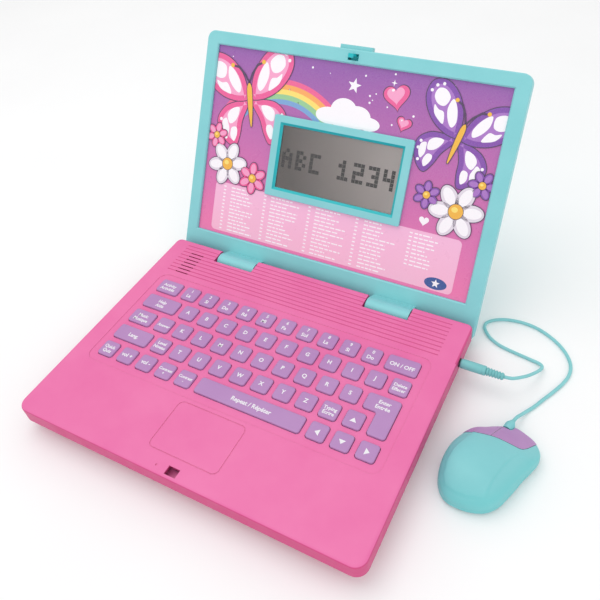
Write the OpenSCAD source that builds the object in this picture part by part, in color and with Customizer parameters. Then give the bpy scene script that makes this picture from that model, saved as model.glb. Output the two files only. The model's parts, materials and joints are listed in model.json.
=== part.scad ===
// Toy laptop computer with a tethered mouse, shown open.
// Origin: centre of the base's footprint on the table. +X is the right side, +Y the back, +Z up.

/* [Base] */
// Width of the base
base_w = 288; // [288:1:292]
// Depth of the base, front to back
base_d = 208; // [208:1:209]
// Height of the base's top face above the table
base_h = 27; // [27:0.1:27.4]
// Height of the side band, which is the skirt of the top shell
skirt_h = 14; // [13.9:0.1:14]
// Wall thickness of the top shell
base_wall = 2.4; // [2:0.1:2.6]
// Radius of the two front corners
front_corner_r = 9; // [8:0.5:14]
// Radius of the two rear corners
rear_corner_r = 5; // [4.5:0.5:6]
// Rounding of the top edge
base_edge_r = 2; // [1.6:0.1:2]

/* [Lid] */
// Width of the lid
lid_w = 287; // [287:0.5:288]
// Distance from the hinge line's foot up to the lid's top edge
lid_top = 201.8; // [201.8:0.1:202]
// Distance from the hinge line's foot down to the lid's bottom edge
lid_drop = 6.7; // [6:0.1:6.8]
// Thickness of the lid
lid_t = 10; // [10:0.1:10.2]
// How far the open lid leans back from upright, in degrees
lid_lean = 31.36; // [20:0.5:31.5]
// Depth of the recess that the printed panel sits in
panel_recess = 2.5; // [2:0.1:2.5]

/* [Keys] */
// Distance from one key's centre to the next
key_pitch = 19; // [18.8:0.1:19]
// Width of a plain key
key_w = 14; // [13.8:0.1:15]
// Height of the key tops above the base's top face
key_proud = 1.2; // [0.6:0.1:1.2]
// How far a key travels when it is pressed
key_travel = 1.5; // [0.8:0.1:1.5]

/* [Mouse] */
// Width of the mouse against its drawn outline
mouse_wide = 1; // [0.98:0.01:1.05]
// Height of the mouse
mouse_h = 26.4; // [26:0.2:28]
// How far a mouse button travels
mouse_travel = 0.8; // [0.4:0.1:0.8]

/* [Plug and cord] */
// Diameter of the plug's grip
plug_grip_d = 7.5; // [7:0.1:8]
// Diameter of the plug's pin
plug_pin_d = 3.4; // [3.4:0.1:3.5]
// Diameter of the cord
cord_d = 2.6; // [2.2:0.1:3]

/* [Hidden] */
$fn = 48;
eps = 0.02;

// Colours
PINK = [0.94, 0.45, 0.69];
TURQUOISE = [0.53, 0.82, 0.84];
MAT_GREY = [0.85, 0.85, 0.88];
SLEEVE_GREEN = [0.32, 0.45, 0.36];
DISPLAY_GREY = [0.50, 0.48, 0.45];
RED_LENS = [0.7, 0.15, 0.15, 0.6];
CLEAR_FILM = [0.75, 0.78, 0.75, 0.5];
PURPLE = [0.70, 0.52, 0.73];
CHARCOAL = [0.16, 0.16, 0.17];
BOARD_GREEN = [0.10, 0.38, 0.22];
STEEL = [0.75, 0.76, 0.78];
ARTWORK_PINK = [0.86, 0.50, 0.74];

// Base: levels and outlines
half_w = base_w / 2;
half_d = base_d / 2;
skirt_z = base_h - skirt_h;
deck_t = 2.2;
deck_under_z = base_h - deck_t;
foot_h = 1.5;
floor_t = 2;
pan_inset = 9;
pan_wall = 2.2;
pan_edge_r = 3.5;
pan_corner_r = 8;
pan_inner_r = 6;
rim_front_r = 6;
rim_rear_r = 4;
flange_t = 2;
flange_top_z = skirt_z + flange_t;
flange_gap = 0.3;

// Hinge: axis across the rear of the base, with a pocket for each lid tab
hinge_y = half_d - 6.2;
hinge_z = base_h - 8.4;
hinge_to_lid = 10.4;
pocket_x0 = 54;
pocket_x1 = 94;
pocket_y = hinge_y - 9;
pocket_wall = 1.6;
pocket_floor_z = hinge_z - 9.4;
pin_r = 1.5;
pin_seat_r = 1.55;
tab_bore_r = 1.6;
tab_gap = 1;
tab_barrel_r = 8.3;
tab_low = 6.5;
tab_high = 8.2;
bearing_w = 4;
well_wall = 1.6;

// Details of the deck
recess_x = 128;
recess_y0 = -45;
recess_y1 = 58.6;
recess_depth = 0.4;
recess_r = 8;
pad_r = 5;
pad_x = 29.5;
pad_y0 = 15 - half_d;
pad_y1 = 56.2 - half_d;
pad_groove_w = 0.8;
rib_count = 9;
rib_pitch = 4.1;
rib_y = 65.2;
rib_x = 128.5;
rib_r = 0.65;
slit_count = 7;
slit_x0 = -119.6;
slit_x1 = -106.3;
slit_w = 1.2;
slot_x = 4.65;
slot_y0 = 2.3 - half_d;
slot_y1 = 8.9 - half_d;
slot_stop_x = 7.5;
mark_at = [-13.4, 5.6 - half_d];
mark_r = 0.8;
mark_depth = 0.6;
slot_stop_z = 20.3;

// Screws that hold the two halves of the base together
case_screw_at = [[-128, -86], [128, -86], [-128, 50], [128, 50], [-44, 76], [44, 76]];
screw_head_t = 1.6;
screw_l = 16;
boss_r = 2.8;
post_r = 3.5;
post_top_z = 8;
screw_head_r = 2.6;
screw_r = 1;
screw_pilot_r = 1.05;
screw_clear_r = 1.3;
screw_slot_w = 0.7;
screw_slot_l = 3.2;
screw_slot_t = 0.7;
screw_seat_z = 5;

// Circuit board, rubber dome mat and keys
board_x = 124;
board_y0 = -43.5;
board_y1 = 57;
board_z = 18.2;
board_t = 1.6;
board_post_r = 2.5;
// Chips under the board: centre x, centre y, side
board_chips = [[-60, 10, 14], [20, 12, 18], [75, -10, 9]];
chip_t = 1.8;
board_post_x = [-108, 0, 108];
board_post_y = [-32, 45];
mat_z = board_z + board_t;
mat_t = 1.1;
dome_h = 1;
dome_r = 4;
key_top_z = base_h + key_proud;
key_flange_z = mat_z + mat_t + dome_h + key_travel + 0.2;
key_flange_t = 0.8;
key_flange_w = 0.9;
key_gap = 0.4;
key_corner_r = 2.3;
key_corner_fn = 16;
key_edge_r = 0.7;
key_half = key_w / 2;
row_y = [44.9, 25.9, 6.9, -12.1, -31.1];
board_right = 121;

// Each special key: row, left edge, right edge
KEY_ACTIVITY = [0, -board_right, -99.2];
KEY_ON_OFF = [0, 95.5, board_right];
KEY_HELP = [1, -board_right, -87.9];
KEY_DELETE = [1, board_right - key_w, board_right];
KEY_MUSIC = [2, -board_right, -99.2];
KEY_MATCH = [2, -87.5 - key_half, -87.5 + key_half];
KEY_LANGUAGE = [3, -board_right, -87.9];
KEY_LEVEL = [3, -76 - key_half, -76 + key_half];
KEY_TYPING = [3, 76 - key_half, 76 + key_half];
KEY_UP = [3, 95 - key_half, 95 + key_half];
KEY_QUIZ = [4, -board_right, -board_right + key_w];
KEY_VOLUME_UP = [4, -95 - key_half, -95 + key_half];
KEY_VOLUME_DOWN = [4, -76 - key_half, -76 + key_half];
KEY_CONTRAST_UP = [4, -57 - key_half, -57 + key_half];
KEY_CONTRAST_DOWN = [4, -38 - key_half, -38 + key_half];
KEY_SPACE = [4, -26, 64.2];
KEY_LEFT = [4, 76 - key_half, 76 + key_half];
KEY_DOWN = [4, 95 - key_half, 95 + key_half];
KEY_RIGHT = [4, board_right - key_w, board_right];
ENTER_X0 = 95.5;
ENTER_LEG_X0 = 107;

// Rows of plain keys: row, first key's centre, number of keys
NUMBER_ROW = [0, -87.5, 10];
UPPER_ROW = [1, -76, 10];
MIDDLE_ROW = [2, -68.5, 9];
LOWER_ROW = [3, -57, 7];
PLAIN_ROWS = [NUMBER_ROW, UPPER_ROW, MIDDLE_ROW, LOWER_ROW];
SPECIAL_KEYS = [
    KEY_ACTIVITY, KEY_ON_OFF, KEY_HELP, KEY_DELETE, KEY_MUSIC, KEY_MATCH, KEY_LANGUAGE,
    KEY_LEVEL, KEY_TYPING, KEY_UP, KEY_QUIZ, KEY_VOLUME_UP, KEY_VOLUME_DOWN,
    KEY_CONTRAST_UP, KEY_CONTRAST_DOWN, KEY_SPACE, KEY_LEFT, KEY_DOWN, KEY_RIGHT
];

// Batteries: three cells side by side under the palm rest
cell_r = 7.1;
cell_half_l = 24.4;
cell_z = 11.2;
cell_y = [-82.6, -67.8, -53];
bay_x = 28.5;
bay_y0 = -90.4;
bay_y1 = -45.2;
bay_wall = 1.4;
bay_top_z = 16;
door_gap = 0.3;
door_lip_t = 1.2;
door_ledge = 2;
door_tab_x = 6;
door_tab_y = -37;
door_screw_y = -41;
door_post_r = 3.2;
door_grip_count = 6;
door_grip_pitch = 2.4;
door_grip_x = 12;
door_grip_y = bay_y0 + 6;
cell_nub_r = 2.7;
cell_nub_l = 1.2;
contact_half_w = 5.5;
contact_half_h = 5;
contact_x = 26.8;
contact_t = 0.5;

// Speaker and jack socket
speaker_at = [-113, rib_y + 3 * rib_pitch];
speaker_r = 13;
speaker_h = 6.5;
jack_y = 70;
jack_z = base_h - 7;
jack_bore_r = plug_pin_d / 2 + 0.05;
jack_collar_r = 3.6;
jack_collar_proud = 0.6;
jack_block_x = 128;

foot_r = 7;
foot_at = [[-116, -80], [116, -80], [-116, 81], [116, 81], [0, 0]];
foot_recess = 0.8;
foot_gap = 0.1;

// Lid: x across, y up the lid from the hinge line's foot, z out of the front face
lid_half_w = lid_w / 2;
lid_wall = 2.6;
lid_corner_top_r = 7.5;
lid_corner_low_r = 4.5;
lid_front_edge_r = 1;
lid_back_edge_r = 2;
window_x = 131.6;
window_s0 = 22.1;
window_s1 = 190.4;
window_chamfer = 1;
panel_x = 134.4;
panel_s0 = 19.4;
panel_s1 = 192.4;
panel_t = 1.2;
cover_t = 2.2;
cover_gap = 0.2;
latch_win_x = 4.7;
latch_win_s0 = 193.2;
latch_win_s1 = 198.4;
lid_screw_at = [[-137.4, 45], [137.4, 45], [-137.4, 160], [137.4, 160], [-30, 6], [30, 6]];
lid_boss_r = 2.6;

// Screen in the lid
bezel_x = 64.6;
bezel_s0 = 69.4;
bezel_s1 = 140.2;
bezel_r = 2;
screen_x = 57.8;
screen_s0 = 75.5;
screen_s1 = 134.2;
screen_bevel = 2.2;
screen_bevel_depth = 2;
bezel_collar_inset = 2;
bezel_back = 5.5;
glass_inset = 2.6;
glass_t = 1;
module_t = 2.4;
lcd_board_x = 66;
lcd_board_s0 = 66;
lcd_board_s1 = 144;
lcd_board_t = 1.2;

// Slide latch in the lid's top edge
latch_half_w = 14.4;
latch_proud = 3.3;
latch_front = -3.4;
latch_back = -7.5;
latch_travel = 2.8;
latch_shoulder_x = 17;
latch_foot_s = 195.6;
latch_shoulder_s = 198.9;
hook_x = 2.2;
hook_s0 = 196.2;
hook_s1 = 198.2;
hook_nose = 1.4;
hook_nose_out = 4.55;
hook_out = 5.75;
tongue_x = 4.3;
tongue_s0 = 189.5;
tongue_front = -4.5;

// Mouse: its own frame, +Y towards its front
mouse_at = [187, 7];
mouse_yaw = -13.5;
mouse_mid_y = -3.5;
mouse_peak_y = -17.4;
mouse_front_y = 33.9;
mouse_rear_y = -41.1;
mouse_dome_power = 2.9;
mouse_front_drop = 16.8;
mouse_rear_drop = 7.3;
mouse_seam_z = 6.4;
mouse_wall = 2;
mouse_foot_h = 1;
mouse_floor_t = 1.6;
mouse_button_low_z = 7.4;
mouse_button_gap = 0.3;
mouse_button_edge = [
    [-40, 3.5], [-22, 4.7], [-15.1, 6.6], [-6.1, 10.4], [0.2, 11.9], [6.5, 12.8], [13.4, 13.8],
    [15.6, 15.1], [17.4, 19.2], [19.3, 28.6], [21, 60], [-40, 60]
];
// Outline of the mouse: its radius at every 15 degrees, starting from its right side
mouse_radii = [
    23.8, 25.2, 29.6, 36.7, 38.9, 38, 36.8, 31.8, 28.5, 27.8, 26.9, 25.9,
    26.3, 27.4, 29.4, 32.6, 36.5, 38.5, 36.7, 34.7, 32.6, 29.3, 25.8, 24
];
// Stems that press the switches: place and top
mouse_stems = [[-8, 16.5, 15.6], [8, 16.5, 16.6]];
mouse_stem_r = 1.5;
mouse_switch_z = 10;
mouse_split = [[-6.4, 0], [-5, 45]];
mouse_foot_r = 4;
mouse_foot_at = [[-10, -24], [10, -24], [-10, 13], [11, 15]];
mouse_nub_at = [-2.6, 28.5];
mouse_nub_z = 7.8;
mouse_nub_l = 8.5;
mouse_nub_r = 3.6;
mouse_nub_gap = 0.3;
mouse_lens_r = 5;
mouse_lens_y = -2;
mouse_screw_y = -26;

// Plug: along +X from the jack socket
plug_x0 = half_w + 1;
plug_grip_x1 = 164.5;
plug_pin_x0 = 131;
relief_x1 = 178;
relief_rings = 6;

// Cord: from the plug's strain relief, down to the table and round to the mouse
cord_z = cord_d / 2;
cord_route = [
    [178, 70, 20], [183.4, 71.2, 19.6], [187.8, 75.6, 17.4], [192.2, 82.3, 13.6], [195.8, 89.7, 9.6],
    [198.6, 96.7, 6.2], [199.8, 101.9, 3.9], [198.7, 105.3, 2.6], [195.6, 107.3, 1.8],
    [189.8, 108.6, cord_z], [181.6, 109.9, cord_z], [172.4, 111.4, cord_z], [162.7, 113.8, cord_z],
    [154.4, 118.4, cord_z], [149.1, 124, cord_z], [146.9, 128.3, cord_z], [147.3, 133, cord_z],
    [151.9, 137.9, cord_z], [159.2, 141.7, cord_z], [168.8, 143.8, cord_z], [178, 143.9, cord_z],
    [187.5, 142.1, cord_z], [197.4, 137.8, cord_z], [206.7, 131.6, cord_z], [213.9, 124.1, cord_z],
    [218.8, 115.1, cord_z], [219.8, 105.3, cord_z], [217.3, 95.6, cord_z], [213, 85.9, cord_z],
    [207.6, 75.5, cord_z], [203, 66.5, cord_z], [199.3, 60.2, 1.9], [196.6, 54, 4.4],
    [194.6, 48.6, 7.1], [193.2, 43.8, mouse_nub_z]
];
cord_sides = 8;

// ---------- Shared shapes ----------

// Outline with one corner radius at the front (-Y) and another at the rear (+Y)
module outline(w, d, front_r, rear_r) {
    translate([-w / 2, front_r - d / 2]) square([w, d - front_r - rear_r]);
    translate([front_r - w / 2, -d / 2]) square([w - 2 * front_r, front_r + eps]);
    translate([rear_r - w / 2, d / 2 - rear_r - eps]) square([w - 2 * rear_r, rear_r + eps]);
    for (side = [-1, 1]) {
        translate([side * (w / 2 - front_r), front_r - d / 2]) circle(front_r);
        translate([side * (w / 2 - rear_r), d / 2 - rear_r]) circle(rear_r);
    }
}

// Post from z = 0 to h with a rounded top rim
module soft_corner(r, h, edge_r) {
    rotate_extrude() difference() {
        square([r, h]);
        translate([r - edge_r, h - edge_r]) difference() {
            square(edge_r + 1);
            circle(edge_r);
        }
    }
}

// Bar along +X whose outer top edge, on the -Y side, is rounded
module soft_bar(l, w, h, edge_r) {
    rotate([90, 0, 90]) linear_extrude(l) difference() {
        square([w, h]);
        translate([0, h - edge_r]) difference() {
            translate([-1, 0]) square([edge_r + 1, edge_r + 1]);
            translate([edge_r, 0]) circle(edge_r);
        }
    }
}

// Slab from z = 0 to h with rounded corners and a rounded top edge
module soft_slab(w, d, h, front_r, rear_r, edge_r) {
    side_w = max(front_r, rear_r);
    run = d - front_r - rear_r;
    for (side = [-1, 1]) {
        translate([side * (w / 2 - front_r), front_r - d / 2, 0]) soft_corner(front_r, h, edge_r);
        translate([side * (w / 2 - rear_r), d / 2 - rear_r, 0]) soft_corner(rear_r, h, edge_r);
    }
    translate([front_r - w / 2, -d / 2, 0]) soft_bar(w - 2 * front_r, front_r, h, edge_r);
    translate([w / 2 - rear_r, d / 2, 0]) rotate([0, 0, 180]) soft_bar(w - 2 * rear_r, rear_r, h, edge_r);
    translate([w / 2, front_r - d / 2, 0]) rotate([0, 0, 90]) soft_bar(run, side_w, h, edge_r);
    translate([-w / 2, d / 2 - rear_r, 0]) rotate([0, 0, -90]) soft_bar(run, side_w, h, edge_r);
    translate([side_w - w / 2, front_r - d / 2, 0]) cube([w - 2 * side_w, run, h]);
}

// Profile of a slab's end: square below, rounded at its top corners
module soft_end(w, h, edge_r) {
    translate([-w / 2, 0]) square([w, h - edge_r]);
    translate([edge_r - w / 2, 0]) square([w - 2 * edge_r, h]);
    for (side = [-1, 1]) translate([side * (w / 2 - edge_r), h - edge_r]) circle(edge_r);
}

// Small slab with rounded corners whose top edges are rounded lengthways and crossways
module soft_cap(w, d, h, r, edge_r) {
    intersection() {
        linear_extrude(h) outline(w, d, r, r);
        translate([-w / 2, 0, 0]) rotate([90, 0, 90]) linear_extrude(w) soft_end(d, h, edge_r);
        translate([0, d / 2, 0]) rotate([90, 0, 0]) linear_extrude(d) soft_end(w, h, edge_r);
    }
}

// Rounded rectangle from corner to corner
module panel(x0, y0, x1, y1, r) {
    translate([(x0 + x1) / 2, (y0 + y1) / 2]) outline(x1 - x0, y1 - y0, r, r);
}

// Block from one corner to the opposite one
module block(low, high) {
    translate(low) cube(high - low);
}

// Puts a piece drawn in the lid's own frame onto the open lid
module on_lid() {
    translate([0, hinge_y, hinge_z]) rotate([90 - lid_lean, 0, 0]) translate([0, 0, -hinge_to_lid])
        children();
}

module on_mouse() {
    translate([mouse_at.x, mouse_at.y, 0]) rotate([0, 0, mouse_yaw]) children();
}

// ---------- Base ----------

module hinge_pockets() {
    for (side = [-1, 1])
        block([min(side * pocket_x0, side * pocket_x1), pocket_y, -1],
              [max(side * pocket_x0, side * pocket_x1), half_d + 5, base_h + 5]);
}

// Bearing blocks on both sides of each pocket, and the wall in front of it
module hinge_bearings() {
    for (side = [-1, 1], x = [pocket_x0 - bearing_w, pocket_x1])
        block([side > 0 ? x : -x - bearing_w, pocket_y - pocket_wall, skirt_z],
              [side > 0 ? x + bearing_w : -x, half_d - base_wall + eps, deck_under_z + eps]);
    for (side = [-1, 1])
        block([side > 0 ? pocket_x0 - 1 : -pocket_x1 - 1, pocket_y - pocket_wall, skirt_z],
              [side > 0 ? pocket_x1 + 1 : -pocket_x0 + 1, pocket_y, deck_under_z + eps]);
}

module key_opening(x0, x1, y0, y1) {
    translate([0, 0, deck_under_z - 1]) linear_extrude(deck_t + 2)
        panel(x0 - key_gap, y0 - key_gap, x1 + key_gap, y1 + key_gap, key_corner_r + key_gap,
              $fn = key_corner_fn);
}

module key_openings() {
    for (row = PLAIN_ROWS, i = [0 : row[2] - 1]) {
        x = row[1] + i * key_pitch;
        key_opening(x - key_half, x + key_half, row_y[row[0]] - key_half, row_y[row[0]] + key_half);
    }
    for (key = SPECIAL_KEYS)
        key_opening(key[1], key[2], row_y[key[0]] - key_half, row_y[key[0]] + key_half);
    key_opening(ENTER_X0, board_right, row_y[2] - key_half, row_y[2] + key_half);
    key_opening(ENTER_LEG_X0, board_right, row_y[3] - key_half, row_y[2] + key_half);
}

// Shallow grooves across the rear of the deck, and the speaker slits between their left ends
module deck_grooves() {
    for (i = [0 : rib_count - 1])
        translate([-rib_x, rib_y + i * rib_pitch, base_h + 0.3])
            rotate([0, 90, 0]) cylinder(r = rib_r, h = 2 * rib_x, $fn = 24);
    for (i = [0 : slit_count - 1])
        block([slit_x0, rib_y + i * rib_pitch - slit_w / 2, deck_under_z - 1],
              [slit_x1, rib_y + i * rib_pitch + slit_w / 2, base_h + 1]);
}

module touchpad_groove() {
    translate([0, 0, base_h - recess_depth]) linear_extrude(2) difference() {
        panel(-pad_x, pad_y0, pad_x, pad_y1, pad_r);
        panel(-pad_x + pad_groove_w, pad_y0 + pad_groove_w,
              pad_x - pad_groove_w, pad_y1 - pad_groove_w, pad_r - pad_groove_w);
    }
}

module base_top_shell() {
    inner_w = base_w - 2 * base_wall;
    inner_d = base_d - 2 * base_wall;
    color(PINK) difference() {
        union() {
            difference() {
                translate([0, 0, skirt_z])
                    soft_slab(base_w, base_d, skirt_h, front_corner_r, rear_corner_r, base_edge_r);
                translate([0, 0, skirt_z - 1]) linear_extrude(deck_under_z - skirt_z + 1)
                    outline(inner_w, inner_d, front_corner_r - base_wall, rear_corner_r - base_wall);
            }
            hinge_bearings();
            for (at = case_screw_at)
                translate([at.x, at.y, post_top_z]) cylinder(r = boss_r, h = deck_under_z + eps - post_top_z);
        }
        translate([0, 0, base_h - recess_depth]) linear_extrude(5)
            panel(-recess_x, recess_y0, recess_x, recess_y1, recess_r);
        key_openings();
        deck_grooves();
        touchpad_groove();
        hinge_pockets();
        block([-slot_x, slot_y0, deck_under_z - 1], [slot_x, slot_y1, base_h + 1]);
        translate([mark_at.x, mark_at.y, base_h - mark_depth]) cylinder(r = mark_r, h = 2);
        for (side = [-1, 1])
            translate([side > 0 ? pocket_x0 - bearing_w - 1 : -pocket_x1 - bearing_w - 1, hinge_y, hinge_z])
                rotate([0, 90, 0]) cylinder(r = pin_seat_r, h = pocket_x1 - pocket_x0 + 2 * bearing_w + 2);
        translate([half_w - 5, jack_y, jack_z]) rotate([0, 90, 0]) cylinder(r = jack_collar_r + 0.1, h = 10);
        for (at = case_screw_at)
            translate([at.x, at.y, post_top_z - 1]) cylinder(r = screw_pilot_r, h = 10);
    }
}

// Room for the lid tabs and their bearings at the rear of the bottom shell
module pocket_relief() {
    for (side = [-1, 1]) {
        x0 = side > 0 ? pocket_x0 : -pocket_x1;
        x1 = side > 0 ? pocket_x1 : -pocket_x0;
        block([x0 - bearing_w - 0.3, pocket_y - pocket_wall - 0.2, skirt_z - 0.1],
              [x1 + bearing_w + 0.3, half_d + 5, base_h]);
        block([x0, pocket_y - pocket_wall - 0.2, pocket_floor_z], [x1, half_d + 5, base_h]);
    }
}

// A post that stands on the base's floor
module post(at, r, top_z) {
    low_z = foot_h + 1;
    translate([at.x, at.y, low_z]) cylinder(r = r, h = top_z - low_z);
}

module base_bottom_shell() {
    pan_w = base_w - 2 * pan_inset;
    pan_d = base_d - 2 * pan_inset;
    rim_w = base_w - 2 * (base_wall + flange_gap);
    rim_d = base_d - 2 * (base_wall + flange_gap);
    color(PINK) difference() {
        union() {
            difference() {
                union() {
                    translate([0, 0, skirt_z]) mirror([0, 0, 1])
                        soft_slab(pan_w, pan_d, skirt_z - foot_h, pan_corner_r, pan_corner_r, pan_edge_r);
                    translate([0, 0, skirt_z]) linear_extrude(flange_t)
                        outline(rim_w, rim_d, rim_front_r, rim_rear_r);
                }
                translate([0, 0, foot_h + floor_t]) linear_extrude(base_h)
                    outline(pan_w - 2 * pan_wall, pan_d - 2 * pan_wall, pan_inner_r, pan_inner_r);
            }
            for (at = case_screw_at) post(at, post_r, post_top_z);
            for (x = board_post_x, y = board_post_y) post([x, y], board_post_r, board_z);
            for (side = [-1, 1])
                block([side > 0 ? pocket_x0 - well_wall : -pocket_x1 - well_wall, pocket_y - 3.4,
                       pocket_floor_z - well_wall],
                      [side > 0 ? pocket_x1 + well_wall : -pocket_x0 + well_wall, half_d - pan_inset,
                       skirt_z - 0.1]);
            block([-bay_x - bay_wall, bay_y0 - bay_wall, foot_h + 1],
                  [bay_x + bay_wall, bay_y1 + bay_wall, bay_top_z]);
            translate([0, door_screw_y, foot_h + 1]) cylinder(r = door_post_r, h = 9);
            block([-slot_stop_x, slot_y0 + 1.2, skirt_z + eps], [slot_stop_x, slot_y1 + 1.5, slot_stop_z]);
        }
        pocket_relief();
        block([-bay_x + door_ledge, bay_y0 + door_ledge / 2, -1],
              [bay_x - door_ledge, bay_y1 - door_ledge / 2, foot_h + floor_t + eps]);
        block([-bay_x, bay_y0, foot_h + floor_t], [bay_x, bay_y1, bay_top_z + 1]);
        translate([0, 0, -1]) linear_extrude(1 + foot_h + door_lip_t) door_outline(0);
        translate([0, door_screw_y, -1]) cylinder(r = screw_pilot_r, h = 11);
        for (at = case_screw_at) {
            translate([at.x, at.y, -1]) cylinder(r = screw_head_r + 0.3, h = screw_seat_z + 1);
            translate([at.x, at.y, -1]) cylinder(r = screw_clear_r, h = 12);
        }
        for (at = foot_at)
            translate([at.x, at.y, -1]) cylinder(r = foot_r + foot_gap, h = 1 + foot_h + foot_recess);
    }
}

module rubber_feet() {
    color(CHARCOAL) for (at = foot_at)
        translate([at.x, at.y, 0]) cylinder(r = foot_r, h = foot_h + foot_recess);
}

module pan_head_screw(head_z, head_t, tip_z) {
    difference() {
        union() {
            translate([0, 0, head_z]) cylinder(r = screw_head_r, h = head_t);
            translate([0, 0, head_z]) cylinder(r = screw_r, h = tip_z - head_z);
        }
        for (turn = [0, 90]) rotate([0, 0, turn])
            block([-screw_slot_l / 2, -screw_slot_w / 2, head_z - 1],
                  [screw_slot_l / 2, screw_slot_w / 2, head_z + screw_slot_t]);
    }
}

module case_screws() {
    color(STEEL) for (at = case_screw_at)
        translate([at.x, at.y, 0]) pan_head_screw(screw_seat_z - screw_head_t, screw_head_t, screw_l);
}

module main_board() {
    color(BOARD_GREEN) {
        block([-board_x, board_y0, board_z], [board_x, board_y1, board_z + board_t]);
        for (chip = board_chips)
            block([chip[0] - chip[2] / 2, chip[1] - chip[2] / 2, board_z - chip_t],
                  [chip[0] + chip[2] / 2, chip[1] + chip[2] / 2, board_z + eps]);
    }
}

// One rubber sheet with a dome under every key, drawn as low as the domes go when pressed
module dome_mat() {
    color(MAT_GREY) {
        block([-board_x, board_y0, mat_z], [board_x, board_y1, mat_z + mat_t]);
        for (row = PLAIN_ROWS, i = [0 : row[2] - 1]) dome(row[1] + i * key_pitch, row_y[row[0]]);
        for (key = SPECIAL_KEYS) dome((key[1] + key[2]) / 2, row_y[key[0]]);
        dome((ENTER_LEG_X0 + board_right) / 2, (row_y[2] + row_y[3]) / 2);
    }
}

module dome(x, y) {
    translate([x, y, mat_z + mat_t - eps]) cylinder(r = dome_r, h = dome_h + eps);
}

module speaker() {
    color(CHARCOAL) translate([speaker_at.x, speaker_at.y, deck_under_z - speaker_h])
        rotate_extrude() polygon([
            [0, 0], [6, 0], [6, 3.4], [speaker_r - 1.5, 4.6], [speaker_r, 4.6],
            [speaker_r, speaker_h], [speaker_r - 1.5, speaker_h], [speaker_r - 2, 5.6], [4, 4.2], [0, 4.8]
        ]);
}

module battery_cells() {
    color(SLEEVE_GREEN) for (i = [0 : 2]) {
        facing = i == 1 ? -1 : 1;
        translate([0, cell_y[i], cell_z]) rotate([0, facing * 90, 0]) translate([0, 0, -cell_half_l]) {
            cylinder(r = cell_r, h = 2 * cell_half_l - cell_nub_l);
            cylinder(r = cell_nub_r, h = 2 * cell_half_l);
        }
    }
}

// A sprung plate at one end of each cell and a flat one at the other
module battery_contacts() {
    color(STEEL) for (side = [-1, 1], i = [0 : 2]) translate([side * contact_x, cell_y[i], cell_z]) {
        rotate([0, side * 90, 0])
            block([-contact_half_h, -contact_half_w, -contact_t / 2],
                  [contact_half_h, contact_half_w, contact_t / 2]);
        rotate([0, -side * 90, 0]) cylinder(r1 = 4, r2 = 2.2, h = contact_x - cell_half_l);
    }
}

module door_outline(gap) {
    panel(-bay_x + gap, bay_y0 + gap, bay_x - gap, bay_y1 - gap, 2);
    panel(-door_tab_x + gap, bay_y1 - 6, door_tab_x - gap, door_tab_y - gap, 2);
}

module battery_door() {
    color(PINK) difference() {
        union() {
            translate([0, 0, foot_h]) linear_extrude(door_lip_t) door_outline(door_gap);
            block([-bay_x + door_ledge + door_gap, bay_y0 + door_ledge / 2 + door_gap, foot_h + 0.5],
                  [bay_x - door_ledge - door_gap, bay_y1 - door_ledge / 2 - door_gap, foot_h + floor_t]);
        }
        translate([0, door_screw_y, -1]) cylinder(r = screw_clear_r, h = 8);
        for (i = [0 : door_grip_count - 1])
            block([-door_grip_x, door_grip_y + door_grip_pitch * i, -1],
                  [door_grip_x, door_grip_y + door_grip_pitch * i + 1, foot_h + 0.5]);
    }
}

module battery_door_screw() {
    color(STEEL) translate([0, door_screw_y, 0]) difference() {
        union() {
            translate([0, 0, foot_h - 0.9]) cylinder(r = screw_head_r, h = 0.9);
            translate([0, 0, foot_h - 0.9]) cylinder(r = screw_r, h = 9);
        }
        block([-1.8, -0.35, 0], [1.8, 0.35, foot_h - 0.3]);
    }
}

module jack_socket() {
    wall_x = half_w - base_wall;
    color(CHARCOAL) translate([0, jack_y, jack_z]) difference() {
        union() {
            block([jack_block_x, -6, -4.6], [wall_x, 6, 4.6]);
            translate([wall_x - 1, 0, 0]) rotate([0, 90, 0])
                cylinder(r = jack_collar_r, h = 1 + base_wall + jack_collar_proud);
        }
        translate([jack_block_x + 1, 0, 0]) rotate([0, 90, 0]) cylinder(r = jack_bore_r, h = 30);
    }
}

module hinge_pin() {
    translate([pocket_x0 - bearing_w + 0.2, hinge_y, hinge_z]) rotate([0, 90, 0])
        cylinder(r = pin_r, h = pocket_x1 - pocket_x0 + 2 * bearing_w - 0.4);
}

module hinge_pin_left() {
    color(STEEL) mirror([1, 0, 0]) hinge_pin();
}

module hinge_pin_right() {
    color(STEEL) hinge_pin();
}

// ---------- Keys ----------

// A key cap with a rounded top, and the flange that keeps it under the deck
module key_cap(x0, x1, y0, y1) {
    translate([(x0 + x1) / 2, (y0 + y1) / 2, key_flange_z])
        soft_cap(x1 - x0, y1 - y0, key_top_z - key_flange_z, key_corner_r, key_edge_r);
    block([x0 - key_flange_w, y0 - key_flange_w, key_flange_z],
          [x1 + key_flange_w, y1 + key_flange_w, key_flange_z + key_flange_t]);
}

module special_key(key) {
    color(PURPLE) key_cap(key[1], key[2], row_y[key[0]] - key_half, row_y[key[0]] + key_half);
}

module key_row(row) {
    color(PURPLE) for (i = [0 : row[2] - 1]) {
        x = row[1] + i * key_pitch;
        key_cap(x - key_half, x + key_half, row_y[row[0]] - key_half, row_y[row[0]] + key_half);
    }
}

module enter_key() {
    color(PURPLE) {
        key_cap(ENTER_X0, board_right, row_y[2] - key_half, row_y[2] + key_half);
        key_cap(ENTER_LEG_X0, board_right, row_y[3] - key_half, row_y[2] + key_half);
    }
}

// ---------- Lid ----------

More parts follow.
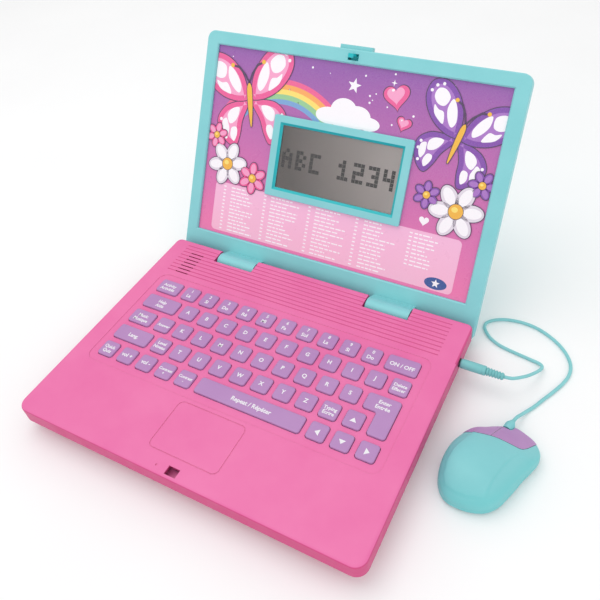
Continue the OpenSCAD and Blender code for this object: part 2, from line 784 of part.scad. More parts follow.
module lid_frame_body() {
    h = lid_top + lid_drop;
    mid_s = (lid_top - lid_drop) / 2;
    translate([0, mid_s, -lid_t / 2])
        soft_slab(lid_w, h, lid_t / 2, lid_corner_low_r, lid_corner_top_r, lid_front_edge_r);
    translate([0, mid_s, -lid_t / 2]) mirror([0, 0, 1])
        soft_slab(lid_w, h, lid_t / 2, lid_corner_low_r, lid_corner_top_r, lid_back_edge_r);
}

module window_cut() {
    hull() {
        block([-window_x, window_s0, -window_chamfer - eps], [window_x, window_s1, -window_chamfer]);
        block([-window_x - window_chamfer - 0.5, window_s0 - window_chamfer - 0.5, 0.5],
              [window_x + window_chamfer + 0.5, window_s1 + window_chamfer + 0.5, 0.5 + eps]);
    }
    block([-window_x, window_s0, -panel_recess - 1], [window_x, window_s1, -window_chamfer + eps]);
}

module hinge_tab() {
    tab_w = pocket_x1 - pocket_x0 - 2 * tab_gap;
    translate([pocket_x0 + tab_gap, 0, 0]) rotate([90, 0, 90]) linear_extrude(tab_w) {
        translate([0, hinge_to_lid]) circle(tab_barrel_r);
        translate([-tab_low, -1]) square([tab_low + tab_high, hinge_to_lid + 1]);
    }
}

module lid_front_frame() {
    color(TURQUOISE) on_lid() difference() {
        union() {
            difference() {
                lid_frame_body();
                translate([0, 0, -lid_t - 1]) linear_extrude(lid_t + 1 - panel_recess)
                    panel(-lid_half_w + lid_wall, -lid_drop + lid_wall,
                          lid_half_w - lid_wall, lid_top - lid_wall, 2);
            }
            hinge_tab();
            mirror([1, 0, 0]) hinge_tab();
            for (at = lid_screw_at)
                translate([at.x, at.y, -lid_t + cover_t])
                    cylinder(r = lid_boss_r, h = lid_t - cover_t - panel_recess + eps);
        }
        window_cut();
        block([-latch_win_x, latch_win_s0, -5], [latch_win_x, latch_win_s1, 1]);
        block([-latch_half_w - 0.5, latch_win_s1, latch_back - 0.4],
              [latch_half_w + 0.5, lid_top + 1, latch_front + 0.3]);
        for (side = [-1, 1])
            translate([side > 0 ? pocket_x0 : -pocket_x1, 0, hinge_to_lid])
                rotate([0, 90, 0]) cylinder(r = tab_bore_r, h = pocket_x1 - pocket_x0);
        for (at = lid_screw_at) translate([at.x, at.y, -lid_t]) cylinder(r = screw_pilot_r, h = 6);
    }
}

module lid_rear_cover() {
    inset = lid_wall + cover_gap;
    color(TURQUOISE) on_lid() difference() {
        translate([0, (lid_top - lid_drop) / 2, -lid_t + cover_t]) mirror([0, 0, 1])
            soft_cap(lid_w - 2 * inset, lid_top + lid_drop - 2 * inset, cover_t, 2, 0.5);
        for (at = lid_screw_at) {
            translate([at.x, at.y, -lid_t - 1]) cylinder(r = 1.3, h = 5);
            translate([at.x, at.y, -lid_t - 1]) cylinder(r = screw_head_r + 0.3, h = 2.2);
        }
    }
}

module lid_screws() {
    color(STEEL) on_lid() for (at = lid_screw_at)
        translate([at.x, at.y, 0]) pan_head_screw(-lid_t + 0.2, 1, -4.6);
}

module artwork_panel() {
    color(ARTWORK_PINK) on_lid() translate([0, 0, -panel_recess - 0.1 - panel_t]) linear_extrude(panel_t)
        difference() {
            panel(-panel_x, panel_s0, panel_x, panel_s1, 2);
            panel(-bezel_x + 1.6, bezel_s0 + 1.6, bezel_x - 1.6, bezel_s1 - 1.6, 1);
        }
}

// Raised frame round the screen: flush with the lid's face, bevelled inwards, with a collar behind
module screen_bezel() {
    collar_x = bezel_x - bezel_collar_inset;
    glass_x = collar_x - glass_inset;
    color(TURQUOISE) on_lid() difference() {
        union() {
            translate([0, (bezel_s0 + bezel_s1) / 2, -panel_recess])
                soft_cap(2 * bezel_x, bezel_s1 - bezel_s0, panel_recess, bezel_r, 0.6);
            block([-collar_x, bezel_s0 + bezel_collar_inset, -bezel_back],
                  [collar_x, bezel_s1 - bezel_collar_inset, -panel_recess + eps]);
        }
        hull() {
            block([-screen_x, screen_s0, 0], [screen_x, screen_s1, eps]);
            block([-screen_x + screen_bevel, screen_s0 + screen_bevel, -screen_bevel_depth - eps],
                  [screen_x - screen_bevel, screen_s1 - screen_bevel, -screen_bevel_depth]);
        }
        block([-screen_x, screen_s0, 0], [screen_x, screen_s1, 1]);
        block([-glass_x, bezel_s0 + bezel_collar_inset + glass_inset, -bezel_back - 1],
              [glass_x, bezel_s1 - bezel_collar_inset - glass_inset, -screen_bevel_depth - eps]);
    }
}

// A plate that fills the bezel's collar, from one depth to another
module in_collar(back, front, gap) {
    inset = bezel_collar_inset + glass_inset + gap;
    block([-bezel_x + inset, bezel_s0 + inset, back], [bezel_x - inset, bezel_s1 - inset, front]);
}

module lcd_window() {
    front = -screen_bevel_depth - 0.05;
    color(CLEAR_FILM) on_lid() in_collar(front - glass_t, front, 0.2);
}

module lcd_module() {
    front = -screen_bevel_depth - 0.15 - glass_t;
    color(DISPLAY_GREY) on_lid() in_collar(front - module_t, front, 0.4);
}

module lcd_board() {
    front = -screen_bevel_depth - 0.25 - glass_t - module_t;
    color(BOARD_GREEN) on_lid()
        block([-lcd_board_x, lcd_board_s0, front - lcd_board_t], [lcd_board_x, lcd_board_s1, front]);
}

// Tab that stands above the lid's edge, shoulders that keep it in, a tongue and the hook behind its window
module lid_latch() {
    color(TURQUOISE) on_lid() {
        block([-latch_half_w, latch_foot_s, latch_back], [latch_half_w, lid_top + latch_proud, latch_front]);
        block([-latch_shoulder_x, latch_foot_s, latch_back],
              [latch_shoulder_x, latch_shoulder_s, latch_front - 0.7]);
        block([-tongue_x, tongue_s0, latch_back], [tongue_x, latch_foot_s + eps, tongue_front]);
        block([-hook_x, hook_s0, latch_front - eps], [hook_x, hook_s1, hook_out]);
        block([-hook_x, hook_s0 - hook_nose, hook_nose_out], [hook_x, hook_s0 + eps, hook_out]);
    }
}

// ---------- Mouse ----------

// Radius of the mouse's outline at angle a, on a smooth curve through the listed ones
function mouse_radius(a) = let(
    n = len(mouse_radii),
    at = a * n / 360,
    i = floor(at),
    t = at - i,
    p = [for (k = [-1 : 2]) mouse_radii[(i + k + n) % n]]
) (2 * p[1] + (p[2] - p[0]) * t + (2 * p[0] - 5 * p[1] + 4 * p[2] - p[3]) * t * t
   + (3 * p[1] - p[0] - 3 * p[2] + p[3]) * t * t * t) / 2;

// Point on the mouse's plan outline at angle a, moved in by inset
function mouse_plan(a, inset) =
    (mouse_radius(a) - inset) * [mouse_wide * cos(a), sin(a)] + [0, mouse_mid_y];

// Height of the mouse's roof along its length
function mouse_roof(y) = let(
    front = mouse_front_y - mouse_peak_y,
    rear = mouse_peak_y - mouse_rear_y,
    away = y - mouse_peak_y
) mouse_h - (away > 0 ? mouse_front_drop * pow(away / front, 2) : mouse_rear_drop * pow(away / rear, 2));

// Point on the domed surface: ring from 0 at the rim to 1 at the crown
function dome_point(a, ring, inset, low) = let(
    shrink = pow(cos(90 * ring), 2 / mouse_dome_power),
    rise = pow(sin(90 * ring), 2 / mouse_dome_power),
    rim = mouse_plan(a, inset),
    at = [rim.x * shrink, mouse_peak_y + (rim.y - mouse_peak_y) * shrink]
) [at.x, at.y, low + (mouse_roof(at.y) - inset - low) * rise];

module mouse_dome(inset, low, sides, rings) {
    points = [
        for (i = [0 : rings - 1], j = [0 : sides - 1]) dome_point(360 * j / sides, i / rings, inset, low),
        [0, mouse_peak_y, mouse_roof(mouse_peak_y) - inset]
    ];
    faces = [
        [for (j = [0 : sides - 1]) j],
        for (i = [0 : rings - 2], j = [0 : sides - 1]) let(a = i * sides + j, b = i * sides + (j + 1) % sides)
            [a, a + sides, b + sides, b],
        for (j = [0 : sides - 1]) let(a = (rings - 1) * sides + j, b = (rings - 1) * sides + (j + 1) % sides)
            [a, sides * rings, b]
    ];
    polyhedron(points, faces, convexity = 4);
}

module mouse_skin(low) {
    difference() {
        mouse_dome(0, low, 36, 8);
        mouse_dome(mouse_wall, low - 0.5, 24, 5);
    }
}

// Area of the two buttons in plan
module button_area(gap) {
    offset(delta = -gap) polygon(mouse_button_edge);
}

// Half of the plan to one side of the split between the buttons
module split_side(side) {
    translate([side * mouse_button_gap / 2, 0])
        polygon([mouse_split[0], mouse_split[1], [side * 50, mouse_split[1].y + 20], [side * 50, -10]]);
}

module mouse_top_shell() {
    color(TURQUOISE) on_mouse() difference() {
        union() {
            difference() {
                mouse_skin(mouse_seam_z + 0.05);
                translate([0, 0, -1]) linear_extrude(60) button_area(0);
            }
            translate([0, mouse_screw_y, mouse_seam_z + 0.05])
                cylinder(r = 3, h = mouse_roof(mouse_screw_y) - mouse_wall / 2 - mouse_seam_z, $fn = 24);
        }
        translate([0, mouse_screw_y, 0]) cylinder(r = 1.05, h = 15, $fn = 24);
    }
}

// Room round the cord's nub over the buttons' travel
module nub_room() {
    r = mouse_nub_r + mouse_nub_gap;
    lift = mouse_travel + mouse_nub_gap;
    translate([mouse_nub_at.x, mouse_nub_at.y - 1, mouse_nub_z]) {
        for (z = [0, lift]) translate([0, 0, z]) rotate([-90, 0, 0]) cylinder(r = r, h = 12, $fn = 32);
        block([-r, 0, 0], [r, 12, lift]);
    }
}

module mouse_button(side) {
    stem = mouse_stems[(side + 1) / 2];
    stem_z = mouse_switch_z + mouse_travel + 0.1;
    difference() {
        union() {
            intersection() {
                mouse_skin(mouse_button_low_z);
                linear_extrude(60) intersection() {
                    button_area(mouse_button_gap);
                    split_side(side);
                }
            }
            translate([stem.x, stem.y, stem_z]) cylinder(r = mouse_stem_r, h = stem.z - stem_z, $fn = 24);
        }
        nub_room();
    }
}

module mouse_button_left() {
    color(PURPLE) on_mouse() mouse_button(-1);
}

module mouse_button_right() {
    color(PURPLE) on_mouse() mouse_button(1);
}

module mouse_outline(inset) {
    sides = 48;
    polygon([for (j = [0 : sides - 1]) mouse_plan(360 * j / sides, inset)]);
}

module mouse_base_shell() {
    color(TURQUOISE) on_mouse() difference() {
        union() {
            translate([0, 0, mouse_foot_h]) linear_extrude(2) mouse_outline(1.2);
            translate([0, 0, mouse_foot_h + 1.5])
                linear_extrude(mouse_seam_z - mouse_foot_h - 1.5) mouse_outline(0);
        }
        translate([0, 0, mouse_foot_h + mouse_floor_t]) linear_extrude(20) mouse_outline(3.2);
        translate([0, mouse_lens_y, 0]) cylinder(r = mouse_lens_r + 0.1, h = 5);
        translate([0, mouse_screw_y, 0]) cylinder(r = 1.3, h = 5);
        translate([0, mouse_screw_y, 0]) cylinder(r = screw_head_r + 0.2, h = mouse_foot_h + 1);
    }
}

module mouse_lens() {
    color(RED_LENS) on_mouse() translate([0, mouse_lens_y, mouse_foot_h + 0.3])
        cylinder(r = mouse_lens_r, h = 1.6);
}

module mouse_board() {
    color(BOARD_GREEN) on_mouse() {
        block([-11, -20, 4.4], [12, 19, 5.8]);
        block([-4, -6, 3.2], [4, 2, 9]);
        for (stem = mouse_stems)
            block([stem.x - 2.5, stem.y - 2.5, 5.7], [stem.x + 2.5, stem.y + 2.5, mouse_switch_z]);
    }
}

module mouse_screw() {
    color(STEEL) on_mouse() translate([0, mouse_screw_y, 0]) pan_head_screw(mouse_foot_h + 0.1, 0.9, 13);
}

module mouse_feet() {
    color(CHARCOAL) on_mouse() for (at = mouse_foot_at)
        translate([at.x, at.y, 0]) cylinder(r = mouse_foot_r, h = mouse_foot_h, $fn = 32);
}

// Bell-shaped nub at the front of the mouse that the cord comes out of
module mouse_strain_relief() {
    color(TURQUOISE) on_mouse() translate([mouse_nub_at.x, mouse_nub_at.y, mouse_nub_z]) difference() {
        rotate([-90, 0, 0]) rotate_extrude($fn = 32)
            polygon([[0, 0], [mouse_nub_r, 0], [mouse_nub_r, 4.8], [3.3, 6.2], [2.7, 7.4], [2, mouse_nub_l],
                     [0, mouse_nub_l]]);
        block([-6, -1, -6], [6, 5.9, mouse_seam_z + 0.1 - mouse_nub_z]);
    }
}

// ---------- Plug and cord ----------

module jack_plug() {
    grip_r = plug_grip_d / 2;
    color(TURQUOISE) translate([0, jack_y, jack_z]) rotate([0, 90, 0]) rotate_extrude() polygon([
        [0, plug_pin_x0], [0.7, plug_pin_x0], [plug_pin_d / 2, plug_pin_x0 + 1.6], [1.25, plug_pin_x0 + 3],
        [plug_pin_d / 2, plug_pin_x0 + 4.2], [plug_pin_d / 2, plug_x0], [grip_r - 0.6, plug_x0],
        [grip_r, plug_x0 + 0.6], [grip_r, plug_grip_x1 - 0.8], [grip_r - 0.8, plug_grip_x1], [0, plug_grip_x1]
    ]);
}

// Tapered sleeve cut into rings, so that it bends
module plug_strain_relief() {
    pitch = (relief_x1 - plug_grip_x1) / relief_rings;
    low = cord_d / 2 + 0.5;
    color(TURQUOISE) translate([plug_grip_x1, jack_y, jack_z]) rotate([0, 90, 0]) {
        cylinder(r = low, h = relief_x1 - plug_grip_x1);
        for (i = [0 : relief_rings - 1])
            translate([0, 0, i * pitch]) cylinder(r = plug_grip_d / 2 - 0.5 - 0.22 * i, h = pitch * 0.62);
    }
}

// Smooth curve through the route: a point halfway between each pair, with eased tangents
function route_at(i) = cord_route[max(0, min(len(cord_route) - 1, i))];
function halfway(i) = (9 * (route_at(i) + route_at(i + 1)) - route_at(i - 1) - route_at(i + 2)) / 16;
cord_points = [
    for (i = [0 : len(cord_route) - 2], half = [0, 1]) half == 0 ? cord_route[i] : halfway(i),
    cord_route[len(cord_route) - 1]
];
function unit(v) = v / norm(v);
function cord_heading(i) = let(last = len(cord_points) - 1)
    i == 0 ? [1, 0, 0] : i == last ? [-sin(-mouse_yaw), -cos(mouse_yaw), 0]
    : unit(cord_points[i + 1] - cord_points[i - 1]);

module mouse_cord() {
    last = len(cord_points) - 1;
    points = [
        for (i = [0 : last], j = [0 : cord_sides - 1]) let(
            ahead = cord_heading(i),
            across = unit(cross([0, 0, 1], ahead)),
            above = cross(ahead, across),
            a = 360 * (j + 0.5) / cord_sides
        ) cord_points[i] + (across * cos(a) + above * sin(a)) * cord_d / 2
    ];
    faces = [
        [for (j = [cord_sides - 1 : -1 : 0]) j],
        for (i = [0 : last - 1], j = [0 : cord_sides - 1])
            let(a = i * cord_sides + j, b = i * cord_sides + (j + 1) % cord_sides)
            [a, b, b + cord_sides, a + cord_sides],
        [for (j = [0 : cord_sides - 1]) last * cord_sides + j]
    ];
    color(TURQUOISE) polyhedron(points, faces, convexity = 10);
}

base_top_shell();
base_bottom_shell();
rubber_feet();
case_screws();
main_board();
dome_mat();
speaker();
battery_cells();
battery_contacts();
battery_door();
battery_door_screw();
jack_socket();
hinge_pin_left();
hinge_pin_right();
key_row(NUMBER_ROW);  // number_keys
key_row(UPPER_ROW);  // upper_letter_keys
key_row(MIDDLE_ROW);  // middle_letter_keys
key_row(LOWER_ROW);  // lower_letter_keys
special_key(KEY_ACTIVITY);  // activity_key
special_key(KEY_ON_OFF);  // on_off_key
special_key(KEY_HELP);  // help_key
special_key(KEY_DELETE);  // delete_key
special_key(KEY_MUSIC);  // music_key
special_key(KEY_MATCH);  // match_key
enter_key();
special_key(KEY_LANGUAGE);  // language_key
special_key(KEY_LEVEL);  // level_key
special_key(KEY_TYPING);  // typing_key
special_key(KEY_UP);  // up_key
special_key(KEY_QUIZ);  // quiz_key
special_key(KEY_VOLUME_UP);  // volume_up_key
special_key(KEY_VOLUME_DOWN);  // volume_down_key
special_key(KEY_CONTRAST_UP);  // contrast_up_key
special_key(KEY_CONTRAST_DOWN);  // contrast_down_key
special_key(KEY_SPACE);  // space_key
special_key(KEY_LEFT);  // left_key
special_key(KEY_DOWN);  // down_key
special_key(KEY_RIGHT);  // right_key
lid_front_frame();
lid_rear_cover();
lid_screws();
artwork_panel();
screen_bezel();
lcd_window();
lcd_module();
lcd_board();
lid_latch();
mouse_top_shell();
mouse_base_shell();
mouse_button_left();
mouse_button_right();
mouse_board();
mouse_lens();
mouse_screw();
mouse_feet();
mouse_strain_relief();
jack_plug();
plug_strain_relief();
mouse_cord();
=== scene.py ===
"""Looks of a toy laptop computer with a tethered mouse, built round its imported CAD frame."""
import json
import math
import random

import bmesh
import bpy
from mathutils import Matrix, Vector
from mathutils.geometry import tessellate_polygon


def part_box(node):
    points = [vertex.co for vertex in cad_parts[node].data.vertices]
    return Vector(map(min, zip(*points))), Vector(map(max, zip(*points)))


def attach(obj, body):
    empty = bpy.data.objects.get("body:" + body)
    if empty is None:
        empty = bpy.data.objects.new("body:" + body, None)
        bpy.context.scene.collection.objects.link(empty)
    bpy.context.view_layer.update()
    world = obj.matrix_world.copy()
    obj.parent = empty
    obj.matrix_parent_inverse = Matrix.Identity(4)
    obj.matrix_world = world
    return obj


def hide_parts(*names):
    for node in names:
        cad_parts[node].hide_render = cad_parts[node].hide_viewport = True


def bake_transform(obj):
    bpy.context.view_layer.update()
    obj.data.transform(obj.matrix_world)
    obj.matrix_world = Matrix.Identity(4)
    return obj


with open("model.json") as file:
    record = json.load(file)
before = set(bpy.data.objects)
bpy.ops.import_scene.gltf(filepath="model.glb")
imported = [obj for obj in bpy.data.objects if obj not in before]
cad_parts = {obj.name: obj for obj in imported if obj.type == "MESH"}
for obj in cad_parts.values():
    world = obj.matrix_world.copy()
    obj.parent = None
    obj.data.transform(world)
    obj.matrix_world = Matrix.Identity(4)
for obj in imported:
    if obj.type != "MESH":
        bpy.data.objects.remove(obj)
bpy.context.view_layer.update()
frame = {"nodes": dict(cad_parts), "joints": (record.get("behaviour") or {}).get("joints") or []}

MM = 0.001
NODES = frame["nodes"]
JOINTS = {joint["name"]: joint for joint in frame["joints"]}


def mm(*values):
    """Millimetres to metres, as a vector."""
    return Vector(values) * MM


def spline(p0, p1, p2, p3, t):
    """A point or a number between p1 and p2 on a smooth curve through all four."""
    return 0.5 * (2 * p1 + (p2 - p0) * t + (2 * p0 - 5 * p1 + 4 * p2 - p3) * t * t
                  + (3 * p1 - p0 - 3 * p2 + p3) * t ** 3)


def srgb(r, g, b):
    """An 8-bit screen colour as linear light."""
    shares = (value / 255 for value in (r, g, b))
    return tuple(v / 12.92 if v <= 0.04045 else ((v + 0.055) / 1.055) ** 2.4 for v in shares)


# ---------------------------------------------------------------- places taken from the frame

DECK_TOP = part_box("base_top_shell")[1].z
HINGE = Vector(JOINTS["lid_hinge"]["pos_m"])
LID_UP = -Vector(JOINTS["latch_slide"]["axis"]).normalized()
LID_OUT = Vector((0, -LID_UP.z, LID_UP.y))
HINGE_TO_LID = 10.4 * MM
LID_FOOT = HINGE - LID_OUT * HINGE_TO_LID

JACK_AXIS = (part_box("jack_plug")[0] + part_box("jack_plug")[1]) / 2
MOUSE_AT = mm(187, 7, 0)
MOUSE_YAW = math.radians(-13.5)
MOUSE_FRAME = Matrix.Translation(MOUSE_AT) @ Matrix.Rotation(MOUSE_YAW, 4, "Z")
LID_FRAME = Matrix.Translation(LID_FOOT) @ Matrix((
    (1, 0, 0, 0), (0, LID_UP.y, LID_OUT.y, 0), (0, LID_UP.z, LID_OUT.z, 0), (0, 0, 0, 1)))


# ---------------------------------------------------------------- camera

# where the camera stands, and the directions to its right, above it and behind it
CAMERA_AT = Vector((0.226854, -0.236429, 0.418541))
CAMERA_RIGHT = Vector((0.88624, 0.45463, -0.08881))
CAMERA_UP = Vector((-0.25355, 0.63656, 0.72836))
CAMERA_BACK = Vector((0.38767, -0.62298, 0.67942))
LENS_MM = 39.18
SHIFT = (-0.0426, -0.0593)


def make_camera():
    data = bpy.data.cameras.new("camera")
    data.lens = LENS_MM
    data.sensor_width = 36
    data.shift_x, data.shift_y = SHIFT
    data.clip_start, data.clip_end = 0.02, 20
    camera = bpy.data.objects.new("camera", data)
    turn = Matrix((CAMERA_RIGHT, CAMERA_UP, CAMERA_BACK)).transposed()
    camera.matrix_world = Matrix.Translation(CAMERA_AT) @ turn.to_4x4()
    bpy.context.scene.collection.objects.link(camera)
    bpy.context.scene.camera = camera


make_camera()


# ---------------------------------------------------------------- shader helpers

class Shader:
    """A small helper that adds and links nodes of one material."""

    def __init__(self, name):
        self.material = bpy.data.materials.new(name)
        self.material.use_nodes = True
        self.tree = self.material.node_tree
        self.principled = next(n for n in self.tree.nodes if n.type == "BSDF_PRINCIPLED")
        self.coords = self.add("ShaderNodeTexCoord").outputs

    def add(self, kind, **settings):
        node = self.tree.nodes.new(kind)
        for key, value in settings.items():
            setattr(node, key, value)
        return node

    def link(self, source, target):
        self.tree.links.new(source, target)

    def colour(self, source):
        self.link(source, self.principled.inputs["Base Color"])

    def shine(self, source):
        self.link(source, self.principled.inputs["Roughness"])

    def set(self, **values):
        """Constants on the shader's own sockets, such as coat_weight=0.2."""
        for key, value in values.items():
            self.principled.inputs[key.replace("_", " ").title().replace("Ior", "IOR")].default_value = value

    def noise(self, scale, detail, rough=0.5):
        node = self.add("ShaderNodeTexNoise")
        node.inputs["Scale"].default_value = scale
        node.inputs["Detail"].default_value = detail
        node.inputs["Roughness"].default_value = rough
        self.link(self.coords["Object"], node.inputs["Vector"])
        return node.outputs["Fac"]

    def spread(self, value, low, high, start=0.3, end=0.7):
        """Maps a 0 to 1 value onto low to high."""
        node = self.add("ShaderNodeMapRange")
        node.inputs["From Min"].default_value = start
        node.inputs["From Max"].default_value = end
        node.inputs["To Min"].default_value = low
        node.inputs["To Max"].default_value = high
        self.link(value, node.inputs["Value"])
        return node.outputs["Result"]

    def mix(self, factor, first, second):
        node = self.add("ShaderNodeMix", data_type="RGBA")
        self.put(factor, node.inputs[0])
        self.put(first, node.inputs[6])
        self.put(second, node.inputs[7])
        return node.outputs[2]

    def put(self, value, socket):
        if isinstance(value, bpy.types.NodeSocket):
            self.link(value, socket)
        else:
            socket.default_value = (*value, 1.0) if hasattr(value, "__len__") and len(value) == 3 else value

    def math(self, operation, first, second=0.0):
        node = self.add("ShaderNodeMath", operation=operation)
        self.put(first, node.inputs[0])
        self.put(second, node.inputs[1])
        return node.outputs[0]

    def axis(self, which, source=None):
        """One coordinate of the object's own space, in metres."""
        split = self.add("ShaderNodeSeparateXYZ")
        self.link(source or self.coords["Object"], split.inputs[0])
        return split.outputs[which]

    def along(self, direction, origin):
        """Distance from an origin along a direction, in metres."""
        dot = self.add("ShaderNodeVectorMath", operation="DOT_PRODUCT")
        self.link(self.coords["Object"], dot.inputs[0])
        dot.inputs[1].default_value = direction
        return self.math("SUBTRACT", dot.outputs["Value"], origin.dot(direction))

    def edge_wear_and_highlight(self, radius, most):
        """The most lightening on edges sharper than the radius, partly for wear and partly as a painted
        highlight, and 0 on open faces.
        """
        bevel = self.add("ShaderNodeBevel", samples=4)
        bevel.inputs["Radius"].default_value = radius
        normal = self.add("ShaderNodeNewGeometry").outputs["Normal"]
        dot = self.add("ShaderNodeVectorMath", operation="DOT_PRODUCT")
        self.link(bevel.outputs["Normal"], dot.inputs[0])
        self.link(normal, dot.inputs[1])
        return self.spread(dot.outputs["Value"], most, 0, 0.86, 0.995)

    def bump(self, height, depth, strength, rounded=0.0):
        """Bump of the given depth in metres, over edges that are softened by the rounded radius."""
        node = self.add("ShaderNodeBump")
        node.inputs["Strength"].default_value = strength
        node.inputs["Distance"].default_value = depth
        self.link(height, node.inputs["Height"])
        if rounded:
            bevel = self.add("ShaderNodeBevel", samples=4)
            bevel.inputs["Radius"].default_value = rounded
            self.link(bevel.outputs["Normal"], node.inputs["Normal"])
        self.link(node.outputs["Normal"], self.principled.inputs["Normal"])


def lighter(colour, share):
    return tuple(c + (1 - c) * share for c in colour)


def darker(colour, share):
    return tuple(c * (1 - share) for c in colour)


MOULD_GRAIN = 9e-6
MOULD_EDGE_R = 0.8 * MM


def moulded(name, colour, rough=0.42, rounded=0.35, wear_and_highlight=0.10, second=None, mask=None):
    """Injection-moulded plastic: fine spark-eroded grain, faint flow marks, and lighter edges that are partly
    wear polished by use and partly a painted highlight.
    A second colour shows where the mask, a function of the shader, is 1."""
    s = Shader(name)
    flow = s.noise(28, 3, 0.55)
    tone = s.mix(s.spread(flow, 0, 1), darker(colour, 0.035), lighter(colour, 0.03))
    if second:
        tone = s.mix(mask(s), tone, second)
    # lighter edges: partly wear, partly a painted highlight
    edge = s.edge_wear_and_highlight(MOULD_EDGE_R, wear_and_highlight)
    s.colour(s.mix(edge, tone, lighter(colour, 0.55)))
    s.shine(s.spread(s.noise(60, 4, 0.6), rough - 0.05, rough + 0.06))
    s.set(specular_ior_level=0.42)
    s.bump(s.noise(2600, 2, 0.6), MOULD_GRAIN, 0.8, rounded * MM)
    return s.material


PINK = (0.83, 0.155, 0.40)
TURQUOISE = (0.235, 0.65, 0.68)
# a deeper pink, painted shade for the sides of the case and its grooves
SHADE_PINK = (0.62, 0.036, 0.20)
# a deeper teal, painted shade for the latch window and the screen's bevel
SHADE_TEAL = (0.01, 0.50, 0.54)
PURPLE = (0.46, 0.235, 0.51)
GROOVES_FROM = 62 * MM
SCREEN_HALF_X = 57.8 * MM
SCREEN_MID = 104.85 * MM
SCREEN_HALF_UP = 29.35 * MM
LATCH_WINDOW_HALF_X = 4.75 * MM
LATCH_WINDOW_UP = 195.8 * MM
LATCH_WINDOW_HALF_UP = 2.65 * MM


def paint(material, *names):
    for name in names:
        data = NODES[name].data
        data.materials.clear()
        data.materials.append(material)


def varied(name, colours, tone, shine, grain=None, **constants):
    """A material whose colour, roughness and surface vary finely.
    tone, shine and grain each start with the settings of their noise."""
    s = Shader(name)
    s.set(**constants)
    s.colour(s.mix(s.spread(s.noise(*tone), 0, 1), *colours))
    noise, low, high = shine
    s.shine(s.spread(s.noise(*noise), low, high))
    if grain:
        noise, depth, strength, rounded = grain
        s.bump(s.noise(*noise), depth, strength, rounded)
    return s.material


def rubber(name, colour, rough=0.75):
    """Matt rubber with a little dust."""
    return varied(name, (colour, lighter(colour, 0.06)), (90, 4, 0.6),
                  ((300, 3), rough - 0.08, rough + 0.08), ((1800, 3), 1.5e-5, 0.7, 0.3 * MM))


def plated_steel():
    return varied("plated_steel", ((0.58, 0.59, 0.6), (0.74, 0.74, 0.73)), (400, 4),
                  ((700, 3), 0.22, 0.4), ((1500, 2), 6e-6, 0.6, 0.15 * MM), metallic=1.0)


def circuit_board():
    """Green solder resist over fine copper tracks, with tinned pads showing through."""
    s = Shader("circuit_board")
    tracks = s.add("ShaderNodeTexBrick")
    s.link(s.coords["Object"], tracks.inputs["Vector"])
    tracks.inputs["Scale"].default_value = 220
    tracks.inputs["Mortar Size"].default_value = 0.12
    resist = s.mix(tracks.outputs["Fac"], (0.012, 0.13, 0.045), (0.03, 0.22, 0.075))
    pads = s.add("ShaderNodeTexVoronoi")
    s.link(s.coords["Object"], pads.inputs["Vector"])
    pads.inputs["Scale"].default_value = 260
    pad = s.spread(pads.outputs["Distance"], 1, 0, 0.12, 0.16)
    s.colour(s.mix(pad, resist, (0.72, 0.7, 0.64)))
    s.shine(s.spread(s.noise(300, 2), 0.25, 0.38))
    s.link(pad, s.principled.inputs["Metallic"])
    s.bump(tracks.outputs["Fac"], 2e-5, 0.5)
    return s.material


def battery_skin():
    """Printed sleeve of a dry cell: a dark body and a gold band near its positive end."""
    s = Shader("battery_skin")
    low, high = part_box("battery_cells")
    share = s.spread(s.axis("X"), 0, 1, low.x, high.x)
    band = s.spread(share, 0, 1, 0.74, 0.75)
    printed = s.mix(s.spread(s.noise(500, 2), 0, 1), (0.03, 0.032, 0.04), (0.05, 0.052, 0.06))
    s.colour(s.mix(band, printed, (0.75, 0.42, 0.10)))
    s.shine(s.spread(s.noise(200, 2), 0.22, 0.32))
    s.bump(s.noise(900, 2), 5e-6, 0.5, 0.3 * MM)
    return s.material


def red_lens():
    """Clear red plastic over the mouse's light."""
    return varied("red_lens", ((0.5, 0.01, 0.012), (0.62, 0.02, 0.02)), (120, 2),
                  ((400, 2), 0.05, 0.12), ((1500, 2), 3e-6, 0.4, 0.2 * MM), transmission_weight=0.6, ior=1.49)


def band_and_groove_shade(s):
    """1 on the sides of the case and down in the grooves across the rear of the deck, where a deeper pink is
    painted as the shade that falls there.
    """
    groove = s.spread(s.axis("Z"), 0.75, 0, DECK_TOP - 0.25 * MM, DECK_TOP - 0.05 * MM)
    at_rear = s.spread(s.axis("Y"), 0, 1, GROOVES_FROM, GROOVES_FROM + 0.5 * MM)
    steep = s.spread(s.axis("Z", s.coords["Normal"]), 1, 0, 0.45, 0.9)
    low = s.spread(s.axis("Z"), 1, 0, DECK_TOP - 1.1 * MM, DECK_TOP - 0.5 * MM)
    return s.math("MAXIMUM", s.math("MULTIPLY", groove, at_rear), s.math("MULTIPLY", steep, low))


def lid_area(s, half_x, middle, half_up, soft):
    """1 inside a rectangle on the lid and 0 outside it, over a soft edge."""
    across = s.math("SUBTRACT", s.math("ABSOLUTE", s.axis("X")), half_x)
    from_middle = s.math("ABSOLUTE", s.along(LID_UP, LID_FOOT + LID_UP * middle))
    up = s.math("SUBTRACT", from_middle, half_up)
    return s.spread(s.math("MAXIMUM", across, up), 1, 0, 0, soft)


def latch_window_shade(s):
    """1 in the window of the lid's frame and on the hook and tongue that show in it, where a deeper teal is
    painted as the shade in the recess.
    """
    return lid_area(s, LATCH_WINDOW_HALF_X, LATCH_WINDOW_UP, LATCH_WINDOW_HALF_UP, 0.1 * MM)


def screen_bevel_shade(s):
    """1 on the bevel that falls from the frame's face to the screen, where a deeper teal is painted as the
    shade on its walls.
    """
    return lid_area(s, SCREEN_HALF_X, SCREEN_MID, SCREEN_HALF_UP, 0.15 * MM)
